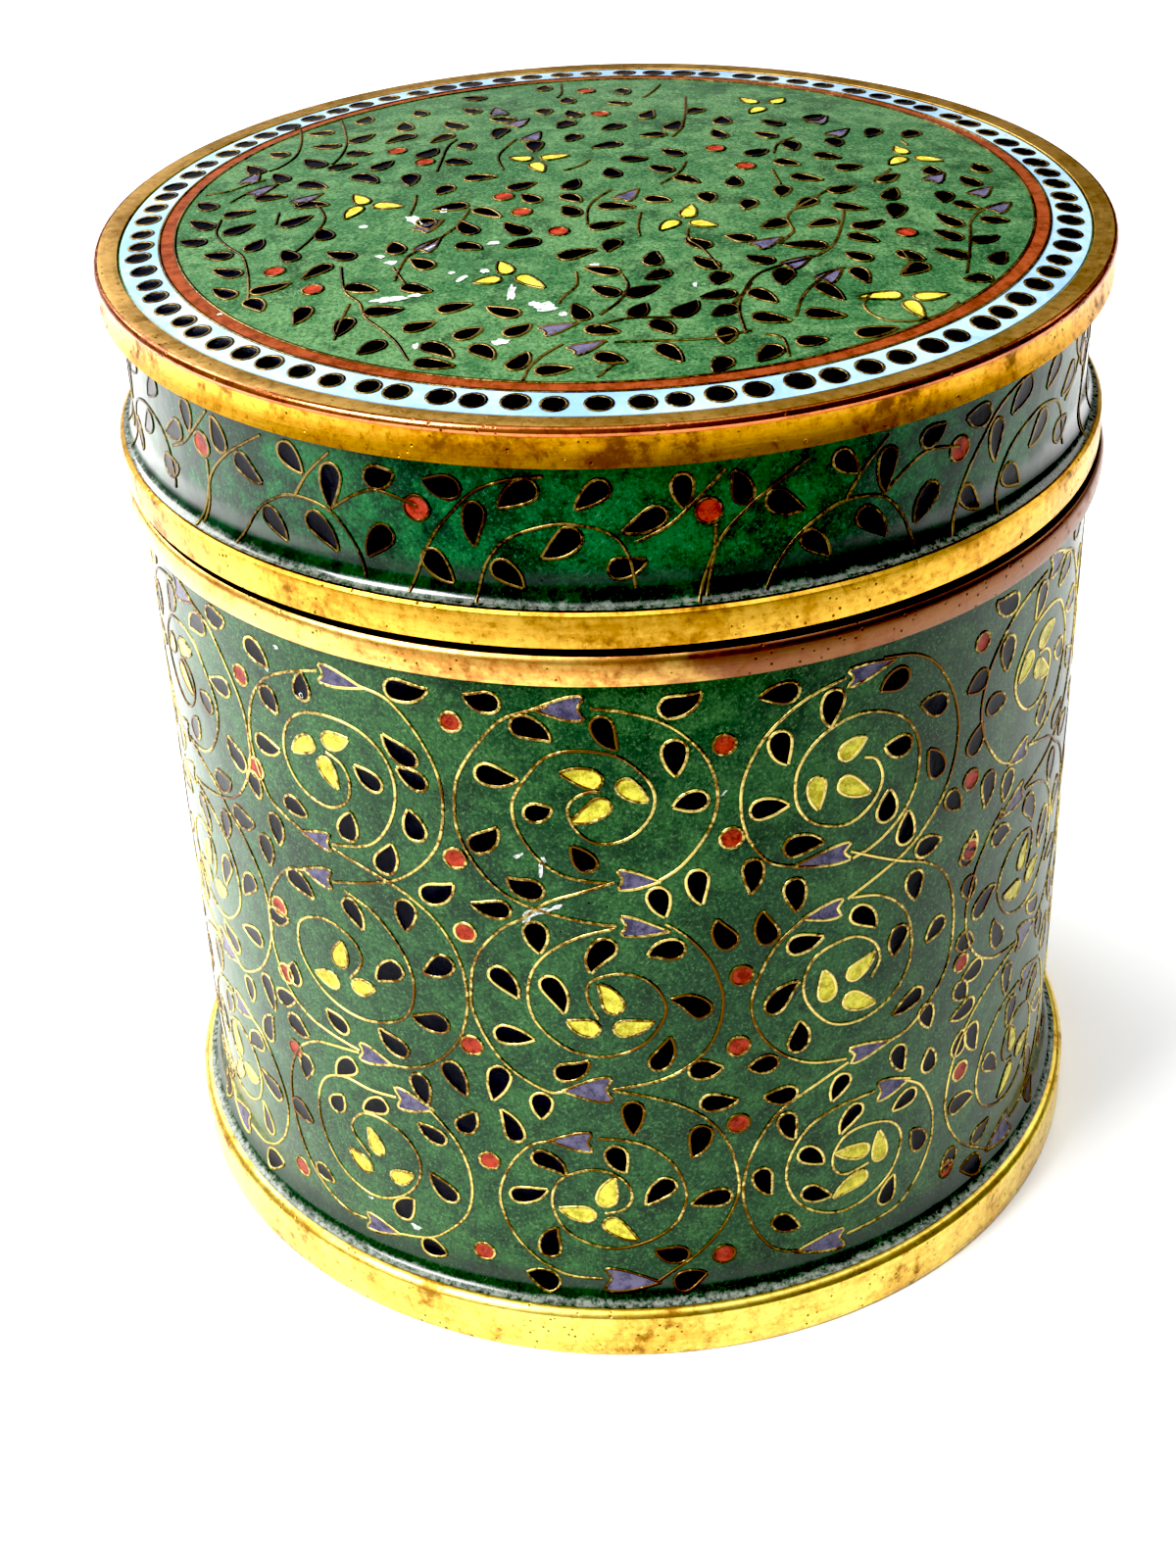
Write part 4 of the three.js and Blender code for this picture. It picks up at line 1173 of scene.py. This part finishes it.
BUD_LOBES_BACK, BUD_LOBES_APART, BUD_TIP_AHEAD = 1.4, 0.8, 1.7
for x, y, degrees in FIELD_BUDS:
    a = math.radians(degrees)
    along, side = Vector((math.cos(a), math.sin(a))), Vector((-math.sin(a), math.cos(a)))
    middle = Vector((x, y))
    lobes = [middle - along * BUD_LOBES_BACK + side * way * BUD_LOBES_APART for way in (1, -1)]
    garden.bud("lavender", *lobes, middle + along * BUD_TIP_AHEAD)
for x, y in FIELD_DOTS:
    garden.dot("red", (x, y), 0.92)
# Chips on the field, like those on the wall; their lengths and widths are scaled up together
CHIP_SCALE = 1.3
FIELD_CHIPS = [
    (-16.7, -5.8, 2.9, 1, -62), (-21.2, -6.3, 0.8, 0.6, 0), (-14.2, -4, 0.5, 1, 0),
    (-9.5, -12.2, 1.1, 0.7, 0), (-15, -12.7, 1.6, 0.8, 60), (-19.3, -13.4, 0.7, 0.7, 0),
    (-18.3, -14.9, 0.9, 0.9, 0), (-13, -18, 0.6, 0.6, 0), (-12, -19.3, 1.2, 0.6, 45),
    (-10.1, -18, 0.8, 0.8, 0), (-18.1, -22.4, 3, 0.9, 0), (-15.8, -22, 1.2, 0.6, 0),
    (-7.8, -22.5, 0.7, 3, 0), (-4.9, -25.6, 1.9, 1.5, 0), (-5.9, -24.9, 0.8, 0.8, 0),
    (-3.5, -27, 0.7, 0.7, 0), (-8.5, -31.4, 1.2, 0.9, 0), (-15.3, -31.2, 0.4, 0.9, 0),
    (-32.2, -22.1, 0.4, 0.4, 0), (-0.8, -17.9, 0.8, 0.6, 0), (7.4, -22.3, 0.35, 1, 0),
]
for x, y, length, width, degrees in FIELD_CHIPS:
    garden.chip("chip", (x, y), length * CHIP_SCALE, width * CHIP_SCALE, degrees)
wires = laid("panel_wires", garden.wires(), dome_wire, dark_wire)
show(wires, "wire_brass")
show_cells("panel", garden, dome_cell)


# Floor: a plain white paper sheet under and behind the box. It lies in shade towards the
# viewer, beyond the camera's view, and the box's enamel mirrors that shade.
paper = Finish("white_paper")
_, away, _ = paper.parts(paper.place)
shade = (away * -1).between(85.0, 170.0)
paper.end(Base_Color=paper.mix(shade, (0.95, 0.95, 0.95), (0.42, 0.42, 0.42)), Roughness=0.8)
HALF_SHEET = 3000 * MM
corners = [(x * HALF_SHEET, y * HALF_SHEET, 0) for x, y in ((-1, -1), (1, -1), (1, 1), (-1, 1))]
sheet_mesh = bpy.data.meshes.new("floor_sheet")
sheet_mesh.from_pydata(corners, [], [(0, 1, 2, 3)])
sheet_mesh.materials.append(paper.material)
sheet = bpy.data.objects.new("floor_sheet", sheet_mesh)
scene.collection.objects.link(sheet)


# Light: a white room, bright overhead and dimmer to the right, with a soft window at the left
# front. Two lamps brighten the sheet behind the box, which its sides mirror. Their places and
# sizes are in metres.
def window(name, place, size, power, aim=(0, 0, 0.05)):
    data = bpy.data.lights.new(name, "AREA")
    data.shape = "RECTANGLE"
    data.size, data.size_y = size
    data.energy = power
    lamp = bpy.data.objects.new(name, data)
    lamp.location = place
    lamp.rotation_euler = (Vector(aim) - Vector(place)).to_track_quat("-Z", "Y").to_euler()
    scene.collection.objects.link(lamp)


window("window_left", (-0.5, -0.33, 0.6), (0.4, 0.26), 7)
window("lamp_behind_left", (-0.32, 0.24, 0.3), (0.3, 0.3), 1.8, aim=(-0.22, 0.2, 0))
window("lamp_behind_right", (0.36, 0.24, 0.3), (0.3, 0.3), 0.4, aim=(0.26, 0.2, 0))
room = bpy.data.worlds.new("room")
scene.world = room
room.use_nodes = True
room.node_tree.nodes.clear()
sky = Tree(room.node_tree.nodes, room.node_tree.links)
toward = sky.node("ShaderNodeTexCoord", out=0)
east, _, height = sky.parts(toward)
bright = 0.28 - east.between(-0.4, 0.6) * 0.22 + height.between(0.72, 0.9) * 1.7
backdrop = sky.node("ShaderNodeBackground", None, {"Color": (1, 1, 1, 1), "Strength": bright})
ends = sky.nodes.new("ShaderNodeOutputWorld")
sky.links.new(backdrop.socket, ends.inputs["Surface"])
scene.view_settings.view_transform = "Standard"
scene.view_settings.use_curve_mapping = True
scene.view_settings.curve_mapping.black_level = (0.03, 0.03, 0.03)
scene.view_settings.curve_mapping.white_level = (0.76, 0.76, 0.76)
scene.view_settings.curve_mapping.update()
